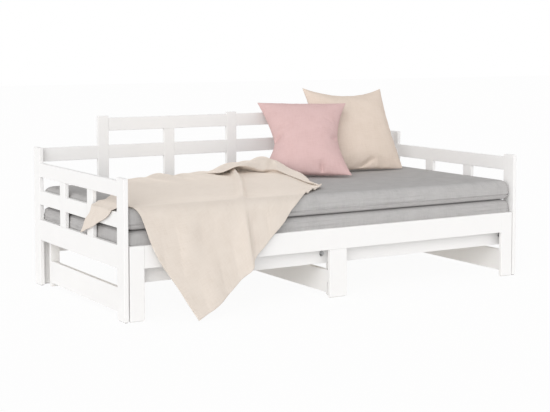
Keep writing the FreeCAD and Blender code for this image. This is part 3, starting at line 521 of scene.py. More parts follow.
def mattress_profile(low, high, roll, heel, bulge):
    """Inset and height of the outline from the top to the underside: a roll, a swelling side, another roll.

    A roll is a quarter of an ellipse, given by how far it goes in and down. Between the rolls the side swells
    as half a sine.
    """
    angle = np.linspace(np.pi / 2, 0, ROLL_LEVELS, endpoint=False)
    top = np.stack([roll[0] * (1 - np.cos(angle)), high - roll[1] * (1 - np.sin(angle))])
    part = np.linspace(0, 1, SIDE_LEVELS)
    straight = high - low - roll[1] - heel[1]
    side = np.stack([-bulge * np.sin(np.pi * part), high - roll[1] - part * straight])
    angle = np.linspace(0, np.pi / 2, ROLL_LEVELS + 1)[1:]
    under = np.stack([heel[0] * (1 - np.cos(angle)), low + heel[1] * (1 - np.sin(angle))])
    return np.concatenate([top, side, under], axis=1)


def tube_round(x, y, z, radius):
    """A closed tube along a level ring: circles square to the ring's run."""
    run = np.stack([np.roll(x, -1) - np.roll(x, 1), np.roll(y, -1) - np.roll(y, 1)])
    run /= np.linalg.norm(run, axis=0)
    angle = np.linspace(0, 2 * np.pi, CORD_SIDES, endpoint=False)[:, None]
    out = np.cos(angle) * radius
    up = z + np.sin(angle) * radius
    return np.stack(np.broadcast_arrays(x + run[1] * out, y - run[0] * out, up), axis=-1)


def lined(x, y, around, height, levels, roll, heel, seed):
    """Pushes a mattress's sides in and out along shallow lines that run with the edge and fade in and out."""
    low, high = levels
    side = smooth_step(heel[1], 2 * heel[1], height - low)
    side *= smooth_step(LINE_FREE * roll[1], roll[1], high - height)
    fading = ripple(around[None, :], np.zeros((len(height), 1)), LINE_WAVES, seed)
    lines = np.sin(height[:, None] * 2 * np.pi / LINE_GAP + LINE_WANDER * fading)
    push = LINE_DEPTH * side[:, None] * lines * smooth_step(*LINE_FADES, fading)
    run_x, run_y = np.gradient(x, axis=1), np.gradient(y, axis=1)
    size = np.hypot(run_x, run_y)
    return x + push * run_y / size, y - push * run_x / size


def mattress_mesh(name, node, sizes, roll, heel, seed, materials):
    """A foam mattress in its cover: a filled ring on top and below, rings down the sides, one corded seam."""
    low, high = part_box(node)
    rear = high[1] + sizes.mattress_reach
    half_x, half_y = (high[0] - low[0]) / 2, (rear - low[1]) / 2
    middle = (low[1] + rear) / 2
    corner = sizes.mattress_corner
    seam = low[2] + sizes.seam_height
    inset, height = mattress_profile(low[2], high[2], roll, heel, sizes.mattress_bulge)
    inset += GROOVE_DEPTH * bump(height, seam + GROOVE_RISE, GROOVE_HEIGHT)
    x, y = rounded_rings(half_x, half_y, corner, inset, MATTRESS_GRID)
    around = run_length(x[ROLL_LEVELS], y[ROLL_LEVELS])
    wall = np.stack(np.broadcast_arrays(around[None, :], run_length(inset, height)[:, None]), axis=-1)
    x, y = lined(x, y, around, height, (low[2], high[2]), roll, heel, seed)
    rings = np.stack(np.broadcast_arrays(x, y + middle, height[:, None]), axis=-1)
    points, weave = [rings.reshape(-1, 3)], [wall.reshape(-1, 2)]
    faces = [ring_faces(len(inset), x.shape[1])[:, ::-1]]
    for level, edge_in, swell in ((high[2], roll[0], SWELL), (low[2], heel[0], 0.0)):
        px, py = filled_ring(half_x - edge_in, half_y - edge_in, corner, MATTRESS_GRID)
        from_edge = np.minimum(half_x - np.abs(px), half_y - np.abs(py))
        waves = swell * smooth_step(edge_in, SWELL_FULL_AT, from_edge) * ripple(px, py, SWELL_WAVES, seed + 1)
        start = sum(len(part) for part in points)
        points.append(np.stack([px, py + middle, level + waves], axis=-1).reshape(-1, 3))
        weave.append(np.stack([px, py], axis=-1).reshape(-1, 2))
        faces.append(grid_faces(*px.shape, start, flip=swell > 0))
    cord_in = np.interp(-seam, -height, inset) - CORD_STANDS_OUT * sizes.piping
    ring_x, ring_y = rounded_rings(half_x, half_y, corner, [cord_in], MATTRESS_GRID)
    cord = tube_round(ring_x[0], ring_y[0] + middle, seam, sizes.piping)
    faces.append(tube_faces(CORD_SIDES, len(around), sum(len(part) for part in points)))
    points.append(cord.reshape(-1, 3))
    weave.append(np.tile(np.stack([around, np.zeros_like(around)], axis=-1), (CORD_SIDES, 1)))
    return mesh_object(name, np.concatenate(points), np.concatenate(faces), np.concatenate(weave), materials,
                       MERGE_WITHIN)


class BED_OT_mattresses(bpy.types.Operator):
    """Make the two foam mattresses in their grey covers"""
    bl_idname = "bed.mattresses"
    bl_label = "Mattresses"

    def execute(self, context):
        colours, sizes, _ = bed(context)
        # The real yarns are under 1 mm apart; 2.4 mm is as fine as shows from a few steps away.
        cover = woven_cloth("Grey woven polyester cover", colours.mattress, colours.mattress_shade,
                            pitch=0.0024, relief_depth=0.0005, sheen=0.0)
        roll, heel, tuck = sizes.mattress_roll, sizes.mattress_heel, sizes.mattress_tuck
        for seed, name, upper, under in ((11, "lower_mattress", (tuck, PRESSED_ROLL * roll), (heel, heel)),
                                         (23, "upper_mattress", (roll, roll), (tuck, heel))):
            piece = mattress_mesh(name + "_cover", name, sizes, upper, under, seed, [cover])
            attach(piece, name)
            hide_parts(name)
        return {"FINISHED"}


# Cushions

# Cells along a cushion's side.
COVER_CELLS = 84
# Left, right, lower and upper side of each cushion: how far it draws in, where along it and how roundly.
BEIGE_SIDES = ((0.022, 0.0, 2.0), (0.016, 0.1, 2.0), (0.006, 0.0, 2.0), (0.050, 0.0, 2.0))
PINK_SIDES = ((0.080, -0.15, 1.4), (0.058, 0.0, 1.7), (0.014, 0.0, 2.0), (0.012, 0.0, 2.0))
# Tucks in the face of each cushion: where they start, their direction and reach, in parts of half a side.
BEIGE_TUCKS = ((-0.1, -0.97, 1.0, 0.5, 0.5),)
PINK_TUCKS = ((-1.0, -0.15, 1.0, 0.3, 0.55), (1.0, 0.0, -1.0, -0.4, 0.45), (0.35, -1.0, 0.0, 1.0, 0.34))
# A tuck's width and where it starts to fade, in the same parts, and how much of the thickness it takes.
TUCK_WIDTH, TUCK_FADES_AT, TUCK_DEPTH = 0.055, 0.05, 0.8
# The crown: how flat it is across the middle and how it falls to the edge.
CROWN_FLATNESS, CROWN_FALL = 2.4, 0.62
# The rear is fuller at the foot, by this part, and comes to it between these two places.
FOOT_FULLER, FOOT_FROM, FOOT_TO = 0.8, -0.45, -0.85
# The cover before it is filled: wider and flatter than the cushion, and a little uneven.
SLACK, FLAT_START = 1.045, 0.42
UNEVEN, UNEVEN_WAVES = 0.0012, ((9, 0.6), (17, 0.4))
# A cushion stops this far above the mattress.
REST_GAP = 0.0006


def envelope(cells):
    """Two square sheets of a cushion cover that share their edge: places from -1 to 1, side, faces.

    The front sheet has all its points. The rear sheet has only the inner ones and uses the front's edge.
    """
    line = np.linspace(-1, 1, cells + 1)
    x, y = np.meshgrid(line, line, indexing="ij")
    front = np.arange((cells + 1) ** 2).reshape(cells + 1, cells + 1)
    rear = front.copy()
    rear[1:-1, 1:-1] = front.size + np.arange((cells - 1) ** 2).reshape(cells - 1, cells - 1)
    inner = (slice(1, -1), slice(1, -1))
    place_x = np.concatenate([x.ravel(), x[inner].ravel()])
    place_y = np.concatenate([y.ravel(), y[inner].ravel()])
    side = np.concatenate([np.ones(front.size), -np.ones((cells - 1) ** 2)])

    def quads(index):
        corners = [index[:-1, :-1], index[1:, :-1], index[1:, 1:], index[:-1, 1:]]
        return np.stack(corners, axis=-1).reshape(-1, 4)

    return place_x, place_y, side, np.concatenate([quads(front), quads(rear)[:, ::-1]])


def drawn_in(place, side):
    """How far a cushion's side draws in along its run: deepest at one place, nothing at the corners."""
    depth, middle, roundness = side
    part = (place - middle) / (1 - middle * np.sign(place - middle))
    return depth * (1 - np.abs(part) ** roundness)


def tucked(x, y, tucks):
    """How much the tucks press in a cushion's face, from 0 to 1: narrow dents that fade inwards."""
    dent = np.zeros_like(x)
    for start_x, start_y, way_x, way_y, reach in tucks:
        size = math.hypot(way_x, way_y)
        along = ((x - start_x) * way_x + (y - start_y) * way_y) / size
        across = ((y - start_y) * way_x - (x - start_x) * way_y) / size
        dent += bump(across, 0, TUCK_WIDTH) * (1 - smooth_step(TUCK_FADES_AT, reach, along))
    return np.minimum(dent, 1)


def plump(place, length_of_side, depth, sides):
    """A stuffed square by formula: sides drawn in, a flat dome on each face, the rear fuller at the foot.

    The dome is a product of one minus a power of the place each way, to another power.
    """
    x, y, face = place
    half = length_of_side / 2
    left, right, low, high = sides
    draw_x = np.where(x < 0, drawn_in(y, left), drawn_in(y, right))
    draw_y = np.where(y < 0, drawn_in(x, low), drawn_in(x, high))
    dome = ((1 - np.abs(x) ** CROWN_FLATNESS) * (1 - np.abs(y) ** CROWN_FLATNESS)) ** CROWN_FALL
    dome *= np.where(face < 0, 1 + FOOT_FULLER * smooth_step(FOOT_FROM, FOOT_TO, y), 1)
    wide, tall = x * (half - draw_x * np.abs(x)), y * (half - draw_y * np.abs(y))
    return np.stack([wide, tall, face * depth / 2 * dome], axis=-1)


def blown_up(name, start, faces, sizes):
    """Fills a slack cover with pressure, by cloth simulation, and gives its points."""
    mesh = bpy.data.meshes.new(name)
    mesh.from_pydata(start.tolist(), [], faces.tolist())
    cover = bpy.data.objects.new(name, mesh)
    scene = bpy.context.scene
    scene.collection.objects.link(cover)
    cloth = cover.modifiers.new("Cover", "CLOTH")
    cloth.point_cache.frame_start = 1
    cloth.point_cache.frame_end = sizes.settle_frames
    yarn = cloth.settings
    yarn.quality = 6
    yarn.mass = 0.25
    yarn.tension_stiffness = yarn.compression_stiffness = 18
    yarn.shear_stiffness = 6
    yarn.bending_stiffness = 0.35
    yarn.use_pressure = True
    yarn.uniform_pressure_force = sizes.pressure
    yarn.effector_weights.gravity = 0
    for step in range(1, sizes.settle_frames + 1):
        scene.frame_set(step)
    shown = cover.evaluated_get(bpy.context.evaluated_depsgraph_get())
    blown = np.empty(len(start) * 3)
    shown.data.vertices.foreach_get("co", blown)
    scene.frame_set(1)
    bpy.data.objects.remove(cover)
    bpy.data.meshes.remove(mesh)
    if not np.isfinite(blown).all():
        raise RuntimeError("%s did not settle" % name)
    return blown.reshape(-1, 3)


def edges_moved(points, goal, x, y):
    """Brings a cushion's edge to its measured place. The cloth goes along, by the square of its own place."""
    for axis, (along, other) in enumerate(((x, y), (y, x))):
        for sign in (-1, 1):
            edge = np.flatnonzero(along == sign)
            edge = edge[np.argsort(other[edge])]
            gap = np.interp(other, other[edge], goal[edge, axis] - points[edge, axis])
            points[:, axis] += gap * np.where(along * sign > 0, along ** 2, 0)
    return points


def stuffed(name, place, faces, sizes, length_of_side, sides, tucks, seed):
    """A flat cover filled with pressure by cloth simulation, then brought to the cushion's measured outline.

    Fibre filling is slacker than air, so the result is halfway between the blown-up cover and the plain form.
    """
    x, y, face = place
    goal = plump(place, length_of_side, sizes.cushion_depth, sides)
    pressed = 1 - TUCK_DEPTH * tucked(x, y, tucks) * (face > 0)
    start = goal * (SLACK, SLACK, FLAT_START)
    inside = (np.abs(x) < 1) & (np.abs(y) < 1)
    start[:, 2] += UNEVEN * ripple(goal[:, 0], goal[:, 1], UNEVEN_WAVES, seed) * inside
    blown = blown_up(name, start, faces, sizes)
    corners = blown[(np.abs(x) == 1) & (np.abs(y) == 1)]
    blown -= corners.mean(axis=0)
    across = length_of_side / np.mean(np.ptp(corners[:, :2], axis=0))
    blown *= (across, across, sizes.cushion_depth / np.ptp(blown[:, 2]))
    full = (goal + edges_moved(blown, goal, x, y)) / 2
    full[:, 2] *= pressed
    return full


def stand_cushion(points, node, turned, leant, swayed, lift):
    """Stands a cushion up, leans and turns it at its solid's middle and rests it on the mattress."""
    low, high = (np.array(corner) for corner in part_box(node))
    pose = (Matrix.Rotation(turned, 3, "Z") @ Matrix.Rotation(math.pi / 2 - leant, 3, "X")
            @ Matrix.Rotation(swayed, 3, "Z"))
    points = points @ np.array(pose).T + (low + high) / 2 + (0, 0, lift)
    points[:, 2] = np.maximum(points[:, 2], low[2] + REST_GAP)
    return points


class BED_OT_cushions(bpy.types.Operator):
    """Stuff the two cushions and lean them against the back"""
    bl_idname = "bed.cushions"
    bl_label = "Cushions"

    def execute(self, context):
        colours, sizes, _ = bed(context)
        x, y, face, faces = envelope(COVER_CELLS)
        wanted = (("beige", colours.beige, colours.beige_shade, sizes.beige_side, BEIGE_SIDES, BEIGE_TUCKS, 3,
                   (sizes.beige_turn, sizes.beige_lean, sizes.beige_sway, sizes.beige_lift)),
                  ("pink", colours.pink, colours.pink_shade, sizes.pink_side, PINK_SIDES, PINK_TUCKS, 8,
                   (sizes.pink_turn, sizes.pink_lean, sizes.pink_sway, sizes.pink_lift)))
        for name, yarn, shade, length_of_side, sides, tucks, seed, stand in wanted:
            # Cotton yarns about 0.8 mm apart, drawn at 2.2 mm so that they show.
            cloth = woven_cloth("%s woven cotton" % name.capitalize(), yarn, shade,
                                pitch=0.0022, relief_depth=0.0005, sheen=0.2)
            flat = np.stack([x, y], axis=-1) * length_of_side / 2
            points = stuffed(name + "_cover", (x, y, face), faces, sizes, length_of_side, sides, tucks, seed)
            points = stand_cushion(points, name + "_cushion", *stand)
            piece = mesh_object(name + "_cushion_cover", points, faces, flat, [cloth])
            smooth = piece.modifiers.new("Round", "SUBSURF")
            smooth.levels = smooth.render_levels = 1
            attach(piece, "dressing")
            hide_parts(name + "_cushion")
        return {"FINISHED"}


# Throw

# Outline of the throw in centimetres, unrolled flat: along the bed from the left panel's outer face, and back
# from the front of the posts. Below the front bend the second number goes on down the hanging cloth.
THROW_LEFT = ((26.4, -43.7), (23.6, -37.9), (21.0, -32.3), (18.0, -27.0), (14.4, -21.0), (11.5, -14.6),
              (9.5, -8.3), (7.3, -2.4), (6.2, 0.6), (4.6, 4.6), (2.6, 8.6), (-1.2, 11.0), (-7.6, 23.6),
              (-11.8, 36.0), (-13.9, 42.5))
THROW_REAR = ((-13.9, 42.5), (-8.2, 37.2), (-1.2, 30.4), (3.5, 30.0), (10.0, 38.0), (20.0, 53.0),
              (31.0, 67.0), (45.0, 79.0), (60.0, 84.0))
THROW_RIGHT = ((26.4, -43.7), (34.7, -40.0), (44.1, -34.4), (49.8, -30.4), (55.2, -26.6), (56.6, -24.1),
               (63.2, -18.4), (68.3, -13.6), (73.7, -8.6), (77.2, -4.3), (80.8, -1.1), (87.0, 3.8),
               (96.5, 12.2), (107.0, 21.5))
THROW_END = ((107.0, 21.5), (112.5, 35.0), (115.5, 50.0), (113.0, 63.0), (103.0, 74.5), (89.0, 81.0),
             (74.0, 84.0), (60.0, 84.0))
# Points along the throw's longer and shorter edges.
THROW_GRID = (216, 196)
# All lengths below are in centimetres too. Where a name ends in X, Y, PAST, RUN or FALL, its pair is two
# places between which something comes in or fades: along the bed, back, past the fold or down the cloth.
CM = 0.01
# How far the cloth lies above the mattress.
CLOTH_GAP = 0.35
# The cloth rises to the rear and falls again by a part of that. Heaps behind the fold: height, place and
# width along the bed, place and width back.
REAR_RISE, RISE_X, RISE_Y = 3.9, (8, 44), (14, 60)
FALLS_BY, FALLS_Y = 0.85, (70, 85)
HEAPS, HEAPS_PAST = ((4.8, 100, 12, 73, 11), (3.4, 111, 6, 64, 8)), (0, 6)
# Waves near the fold and a frill by the right edge: height and length, with the waves' phase and slant.
WAVES, WAVES_X, WAVES_Y = ((0.75, 2.9, 0.0, 0.05), (0.45, 1.7, 1.3, 0.03)), (24, 46), (44, 66)
FRILLS, FRILL_X, FRILL_Y = ((0.5, 2.7), (0.25, 1.3)), (80, 90), (24, 32)
FRILL_AT, FRILL_WIDTH = 85.0, 4.0
# Faint unevenness all over: height, cycles per metre with shares, and seed.
UNEVEN_CLOTH, UNEVEN_CLOTH_Y = 0.16, (6, 20)
UNEVEN_CLOTH_WAVES, UNEVEN_CLOTH_SEED = ((3.0, 0.6), (6.5, 0.4)), 5
# A fold near the rear and the right end: where it lies, how softly it turns the corner, how much cloth it
# takes up, how tight it is, how far behind it the cloth lies as before, and how high its lip stands.
FOLD_BACK, FOLD_RIGHT, FOLD_TURN = 61.5, 106.0, 4.0
FOLD_TAKES, FOLD_TIGHT, FOLD_FADES, FOLD_LIP = 5.0, 1.8, 17.0, 0.9
FOLD_X, FOLD_Y = (64, 76), (14, 28)
# Behind, the lip comes down by a part of its height. The fold is weaker at its corner: by what part, how far
# back, and how wide and deep that place is.
LIP_FALLS_BY, LIP_FALLS_PAST = 0.6, (6, 22)
CORNER_WEAKER, CORNER_BACK, CORNER_WIDE, CORNER_DEEP = 0.6, 62.0, 4.0, 5.0
# A crease runs over the front towards the rear: where it starts, how it slants, its width on the left and on
# its steep right, and its height. Near the fold it is narrower and higher by these.
CREASE_START, CREASE_SLANT = 54.0, 0.552
CREASE_WIDTH, CREASE_STEEP, CREASE_HEIGHT = 2.6, 0.9, 1.4
CREASE_NARROWER, NARROWER_Y = 1.3, (36, 56)
CREASE_HIGHER, HIGHER_Y = 2.0, (36, 60)
CREASE_Y, CREASE_PAST = (-3, 8), (-5.0, -1.5)
# Where the crease goes under the fold it holds the lip up: at this place, this far to the left and right.
# The fold takes up more cloth there and its lip is higher. It climbs a part of the way early, while the
# tangent goes between two values. Waves are stilled by a part: how wide, where past the fold and how deep.
TENT_AT, TENT_LEFT, TENT_RIGHT = 83.9, 7.5, 10.0
TENT_TAKES, TENT_HIGHER, TENT_EARLY, EARLY_SWING = 4.5, 3.0, 0.85, (-1, -0.5)
TENT_STILLS, STILL_WIDE, STILL_PAST, STILL_DEEP = 0.85, 13.0, 2.0, 9.0
# The cloth bends over the mattress's front from this far back, with this radius, and the tip flares out.
BEND_AT, BEND_RADIUS = 4.3, 5.0
FLARE, FLARE_DROP = 11.5, 38.5
# The hanging cloth has the crease's lower end, and ripples: height, length, slant and phase.
HUNG_CREASE, HUNG_CREASE_AT, HUNG_CREASE_SLANT = 1.3, 54.6, 0.04
HUNG_RIPPLES, HUNG_RUN = ((0.5, 3.6, -0.32, 0.6), (0.25, 2.1, 0.2, 0.0)), (1, 18)
# Out of the left panel: where the cloth meets the middle rail, how far it sinks, its run across the rail,
# then the radius and the run of its turn down. Pleats outside: height, length and slant.
RAIL_AT, RAIL_SINK, RAIL_ACROSS = 2.6, 1.3, 2.7
RAIL_RADIUS, RAIL_TURN = 0.7, 1.1
PLEAT, PLEAT_LENGTH, PLEAT_SLANT, PLEAT_FALL = 0.25, 1.9, 0.2, (0, 5)
# Ripples and pleats go in towards the bed by no more than this.
RIPPLE_IN, PLEAT_IN = 0.2, 0.15


def throw_plan():
    """The throw unrolled: a grid that fills its four edges."""
    nu, nv = THROW_GRID
    return fill_sides(smooth_curve(THROW_RIGHT, nu), smooth_curve(THROW_REAR, nu),
                      smooth_curve(THROW_LEFT, nv), smooth_curve(THROW_END, nv))


def crease_height(across, left):
    """A crease that rises gently from the left, over the given width, and falls off steeply on the right."""
    return np.where(across < 0, bump(across, 0, left), bump(across, 0, CREASE_STEEP))


def past_fold(x, y):
    """Distance behind the fold, and its direction: a soft maximum of the distances past two lines."""
    weight_back = np.exp((y - FOLD_BACK) / FOLD_TURN)
    weight_right = np.exp((x - FOLD_RIGHT) / FOLD_TURN)
    size = np.hypot(weight_back, weight_right)
    return FOLD_TURN * np.log(weight_back + weight_right), weight_right / size, weight_back / size


def throw_heights(x, y, past):
    """Height of the lying cloth: a rise to the rear, heaps, waves, the crease, a frill, faint unevenness."""
    rise = REAR_RISE * smooth_step(*RISE_X, x) * smooth_step(*RISE_Y, y)
    rise *= 1 - FALLS_BY * smooth_step(*FALLS_Y, y)
    heap = sum(height * bump(x, at_x, wide) * bump(y, at_y, deep) for height, at_x, wide, at_y, deep in HEAPS)
    heap *= smooth_step(*HEAPS_PAST, past)
    waves = sum(height * np.sin(x / size + phase + slant * y) for height, size, phase, slant in WAVES)
    waves *= smooth_step(*WAVES_X, x) * smooth_step(*WAVES_Y, y)
    waves *= 1 - TENT_STILLS * bump(x, TENT_AT, STILL_WIDE) * bump(past, STILL_PAST, STILL_DEEP)
    width = CREASE_WIDTH - CREASE_NARROWER * smooth_step(*NARROWER_Y, y)
    crease = crease_height(x - CREASE_START - CREASE_SLANT * y, width)
    crease *= CREASE_HEIGHT + CREASE_HIGHER * smooth_step(*HIGHER_Y, y)
    crease *= smooth_step(*CREASE_Y, y) * (1 - smooth_step(*CREASE_PAST, past))
    frill = sum(height * (1 + np.sin((x + y) / size)) for height, size in FRILLS)
    frill *= bump(x - y, FRILL_AT, FRILL_WIDTH) * smooth_step(*FRILL_X, x) * (1 - smooth_step(*FRILL_Y, y))
    uneven = UNEVEN_CLOTH * ripple(x * CM, y * CM, UNEVEN_CLOTH_WAVES, UNEVEN_CLOTH_SEED)
    return rise + heap + waves + crease + frill + uneven * smooth_step(*UNEVEN_CLOTH_Y, y)


def fold_over(x, y):
    """Takes up cloth in a fold, so that the rear layer comes forward over the front one.

    The distance d past the fold becomes d minus a hyperbolic tangent of d, which runs backwards close to it.
    The height climbs by the same tangent, most where the crease goes under the fold and holds its lip up.
    There it climbs early, so that the hollow under the lip is deep and dark.
    """
    past, way_x, way_y = past_fold(x, y)
    strength = smooth_step(*FOLD_X, x) * smooth_step(*FOLD_Y, y)
    strength *= 1 - CORNER_WEAKER * bump(x, FOLD_RIGHT, CORNER_WIDE) * bump(y, CORNER_BACK, CORNER_DEEP)
    swing = np.tanh(past / FOLD_TIGHT)
    tent = np.where(x < TENT_AT, bump(x, TENT_AT, TENT_LEFT), bump(x, TENT_AT, TENT_RIGHT))
    moved = (FOLD_TAKES + TENT_TAKES * tent) * strength * swing * bump(past, 0, FOLD_FADES)
    climb = (swing + 1) / 2
    climb += TENT_EARLY * tent * (smooth_step(*EARLY_SWING, swing) - climb)
    lip = (FOLD_LIP + TENT_HIGHER * tent) * strength * climb
    lip *= 1 - LIP_FALLS_BY * smooth_step(*LIP_FALLS_PAST, past)
    return x - moved * way_x, y - moved * way_y, throw_heights(x, y, past) + lip


def hung(x, y):
    """Where the cloth over the mattress's front comes to lie back from the posts, and how far it drops.

    It takes a quarter bend and goes straight down, and the tip flares out by the square of the drop.
    """
    run = np.maximum(BEND_AT - y, 0)
    quarter = BEND_RADIUS * np.pi / 2
    angle = np.minimum(run, quarter) / BEND_RADIUS
    down = np.maximum(run - quarter, 0)
    ripples = HUNG_CREASE * crease_height(x - HUNG_CREASE_AT - HUNG_CREASE_SLANT * down, CREASE_WIDTH)
    ripples += sum(height * np.sin((x + slant * down) / size + phase)
                   for height, size, slant, phase in HUNG_RIPPLES)
    ripples = np.maximum(ripples * smooth_step(*HUNG_RUN, run), -RIPPLE_IN)
    back = BEND_AT - BEND_RADIUS * np.sin(angle) - FLARE * (down / FLARE_DROP) ** 2 - ripples
    return back, BEND_RADIUS * (1 - np.cos(angle)) + down


def out_of_panel(x, y):
    """How far the cloth goes out of the left panel, and how far it sinks there.

    It sinks on to the middle rail, lies across it, turns down over its edge and falls.
    """
    out = np.maximum(RAIL_AT - x, 0)
    angle = np.clip(out - RAIL_ACROSS, 0, RAIL_TURN) / RAIL_RADIUS
    fall = np.maximum(out - RAIL_ACROSS - RAIL_TURN, 0)
    pleats = PLEAT * np.sin(y / PLEAT_LENGTH + PLEAT_SLANT * fall) * smooth_step(*PLEAT_FALL, fall)
    outward = np.minimum(out, RAIL_ACROSS) + RAIL_RADIUS * np.sin(angle) + np.maximum(pleats, -PLEAT_IN)
    sunk = RAIL_SINK * smooth_step(0, RAIL_ACROSS, out) + RAIL_RADIUS * (1 - np.cos(angle)) + fall
    return outward, sunk


def throw_points():
    """The throw in place: laid, folded near the rear, hung over the front and out of the left panel."""
    x, y = throw_plan()
    laid_x, laid_y, lift = fold_over(x, y)
    hung_y, drop = hung(x, y)
    outward, sunk = out_of_panel(x, y)
    place_x = np.maximum(laid_x, RAIL_AT) - outward
    place_y = np.where(y > BEND_AT, laid_y, hung_y)
    place_z = CLOTH_GAP + lift - drop - sunk
    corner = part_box("left_front_post")[0]
    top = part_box("upper_mattress")[1][2]
    return np.stack([place_x, place_y, place_z], axis=-1) * CM + (corner[0], corner[1], top)


class BED_OT_throw(bpy.types.Operator):
    """Drape the throw over the mattress, the front and the left panel"""
    bl_idname = "bed.throw"
    bl_label = "Throw"

    def execute(self, context):
        colours, sizes, _ = bed(context)
        # Soft wool yarns about 1 mm apart, drawn at 2.6 mm so that they show.
        cloth = woven_cloth("Cream woven wool", colours.throw, colours.throw_shade,
                            pitch=0.0026, relief_depth=0.0006, sheen=1.0)
        points = throw_points()
        nu, nv = THROW_GRID
        along_u = np.linalg.norm(np.diff(points, axis=0), axis=-1).sum(axis=0).mean()
        along_v = np.linalg.norm(np.diff(points, axis=1), axis=-1).sum(axis=1).mean()
        u, v = np.meshgrid(np.linspace(0, along_u, nu), np.linspace(0, along_v, nv), indexing="ij")
        piece = mesh_object("throw_cloth", points.reshape(-1, 3), grid_faces(nu, nv, flip=True),
                            np.stack([u, v], axis=-1).reshape(-1, 2), [cloth])
        thick = piece.modifiers.new("Cloth", "SOLIDIFY")
        thick.thickness = sizes.throw_thickness
        thick.offset = 0
        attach(piece, "dressing")
        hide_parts("throw")
        return {"FINISHED"}


# Studio

# Half the floor's side, in metres, and the part of its light that is its own: as it is seen, and as it lights
# the bed.
FLOOR_REACH = 25.0
GLOW_SEEN, GLOW_GIVEN = 0.94, 0.3
# The key light comes from this side and fills this much of the view.
KEY_FROM = (-6.0, -6.0, 3.6)
KEY_SPREAD = math.radians(50)
SENSOR_WIDTH = 36.0
WHITE = (1.0, 1.0, 1.0, 1.0)


def studio_floor(floor):
    """A pale floor: white to the camera, with the shadows that fall on it kept faint."""
    material, tree = new_material("Pale studio floor")
    seen = add(tree, "ShaderNodeLightPath")
    direct = add(tree, "ShaderNodeMath", {0: seen.outputs["Is Camera Ray"], 1: seen.outputs["Is Glossy Ray"]},
                 operation="MAXIMUM")
    any_view = add(tree, "ShaderNodeMath", {0: direct.outputs[0], 1: seen.outputs["Is Transmission Ray"]},
                   operation="MAXIMUM")
    share = add(tree, "ShaderNodeMapRange",
                {"Value": any_view.outputs[0], "To Min": GLOW_GIVEN, "To Max": GLOW_SEEN})
    coords = add(tree, "ShaderNodeTexCoord")
    cloud = add(tree, "ShaderNodeTexNoise", {"Vector": coords.outputs["Object"], "Scale": FLOOR_PATCHES})
    gloss = add(tree, "ShaderNodeMapRange", {"Value": cloud.outputs[0], "To Min": 0.8, "To Max": 0.95})
    matt = add(tree, "ShaderNodeBsdfPrincipled",
               {"Base Color": opaque(floor), "Roughness": gloss.outputs[0]})
    glow = add(tree, "ShaderNodeEmission", {"Color": WHITE, "Strength": 1.0})
    mixed = add(tree, "ShaderNodeMixShader", {0: share.outputs[0], 1: matt.outputs[0], 2: glow.outputs[0]})
    add(tree, "ShaderNodeOutputMaterial", {"Surface": mixed.outputs[0]})
    return material


def even_light(stage):
    """Light from all round that fades towards straight above. The camera sees plain white."""
    world = bpy.data.worlds.new("Even studio light")
    world.use_nodes = True
    tree = world.node_tree
    tree.nodes.clear()
    seen = add(tree, "ShaderNodeLightPath")
    way = add(tree, "ShaderNodeTexCoord")
    split = add(tree, "ShaderNodeSeparateXYZ", {0: way.outputs["Generated"]})
    fade = add(tree, "ShaderNodeMapRange", {"Value": split.outputs["Z"], "From Min": 0.0, "From Max": 0.9,
                                            "To Min": stage.sky, "To Max": stage.zenith})
    even = add(tree, "ShaderNodeBackground", {"Color": WHITE, "Strength": fade.outputs[0]})
    white = add(tree, "ShaderNodeBackground", {"Color": WHITE, "Strength": 1.0})
    mixed = add(tree, "ShaderNodeMixShader", {0: seen.outputs["Is Camera Ray"], 1: even.outputs[0],
                                              2: white.outputs[0]})
    add(tree, "ShaderNodeOutputWorld", {"Surface": mixed.outputs[0]})
    return world


def key_light(stage):
    """A broad soft light that shines from the front left towards the bed."""
    lamp = bpy.data.lights.new("Soft key", "SUN")
    lamp.angle = KEY_SPREAD
    lamp.energy = stage.key
    key = bpy.data.objects.new("Soft key", lamp)
    place = Vector(KEY_FROM)
    key.matrix_world = Matrix.Translation(place) @ (-place).to_track_quat("-Z", "Y").to_matrix().to_4x4()
    return key


def photo_camera(stage):
    """The camera where the photograph was taken, shifted so that uprights stay nearly upright."""
    lens = bpy.data.cameras.new("Photo camera")
    lens.sensor_fit = "HORIZONTAL"
    lens.sensor_width = SENSOR_WIDTH
    lens.lens = stage.lens
    lens.shift_y = -stage.drop
    camera = bpy.data.objects.new("Photo camera", lens)
    camera.matrix_world = (Matrix.Translation(stage.place) @ Matrix.Rotation(-stage.heading, 4, "Z")
                           @ Matrix.Rotation(math.pi / 2 - stage.tilt, 4, "X"))
    return camera


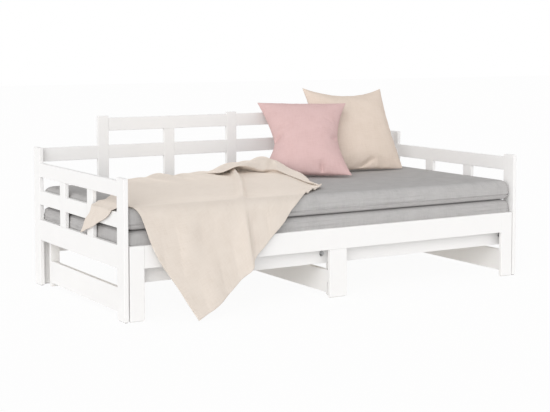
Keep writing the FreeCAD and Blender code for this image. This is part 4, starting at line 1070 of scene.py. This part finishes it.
class BED_OT_stage(bpy.types.Operator):
    """Set up the floor, the light and the camera"""
    bl_idname = "bed.stage"
    bl_label = "Studio"

    def execute(self, context):
        stage = bed(context)[2]
        scene = context.scene
        reach = np.linspace(-FLOOR_REACH, FLOOR_REACH, 3)
        x, y = np.meshgrid(reach, reach, indexing="ij")
        points = np.stack([x, y, np.zeros_like(x)], axis=-1).reshape(-1, 3)
        floor = mesh_object("studio_floor", points, grid_faces(3, 3, flip=True), points[:, :2],
                            [studio_floor(stage.floor)])
        scene.world = even_light(stage)
        scene.collection.objects.link(key_light(stage))
        camera = photo_camera(stage)
        scene.collection.objects.link(camera)
        scene.camera = camera
        scene.view_settings.view_transform = "Standard"
        return {"FINISHED"}


class BED_PT_dressing(bpy.types.Panel):
    """Lists the steps that dress the bed"""
    bl_idname = "BED_PT_dressing"
    bl_label = "Day bed"
    bl_space_type = "VIEW_3D"
    bl_region_type = "UI"
    bl_category = "Day bed"

    def draw(self, context):
        for step in STEPS:
            self.layout.operator(step.bl_idname)


STEPS = (BED_OT_finish_frame, BED_OT_mattresses, BED_OT_cushions, BED_OT_throw, BED_OT_stage)
CLASSES = (BedColours, BedSizes, BedStage, *STEPS, BED_PT_dressing)


def register():
    """Registers the classes and hangs the settings on the scene."""
    for kind in CLASSES:
        bpy.utils.register_class(kind)
    bpy.types.Scene.bed_colours = PointerProperty(type=BedColours)
    bpy.types.Scene.bed_sizes = PointerProperty(type=BedSizes)
    bpy.types.Scene.bed_stage = PointerProperty(type=BedStage)


def unregister():
    """Takes the settings off the scene and removes the classes."""
    del bpy.types.Scene.bed_stage, bpy.types.Scene.bed_sizes, bpy.types.Scene.bed_colours
    for kind in reversed(CLASSES):
        bpy.utils.unregister_class(kind)


def main():
    """Dresses the bed."""
    register()
    bpy.ops.bed.finish_frame()
    bpy.ops.bed.mattresses()
    bpy.ops.bed.cushions()
    bpy.ops.bed.throw()
    bpy.ops.bed.stage()
    bpy.context.view_layer.update()


if __name__ == "__main__":
    main()
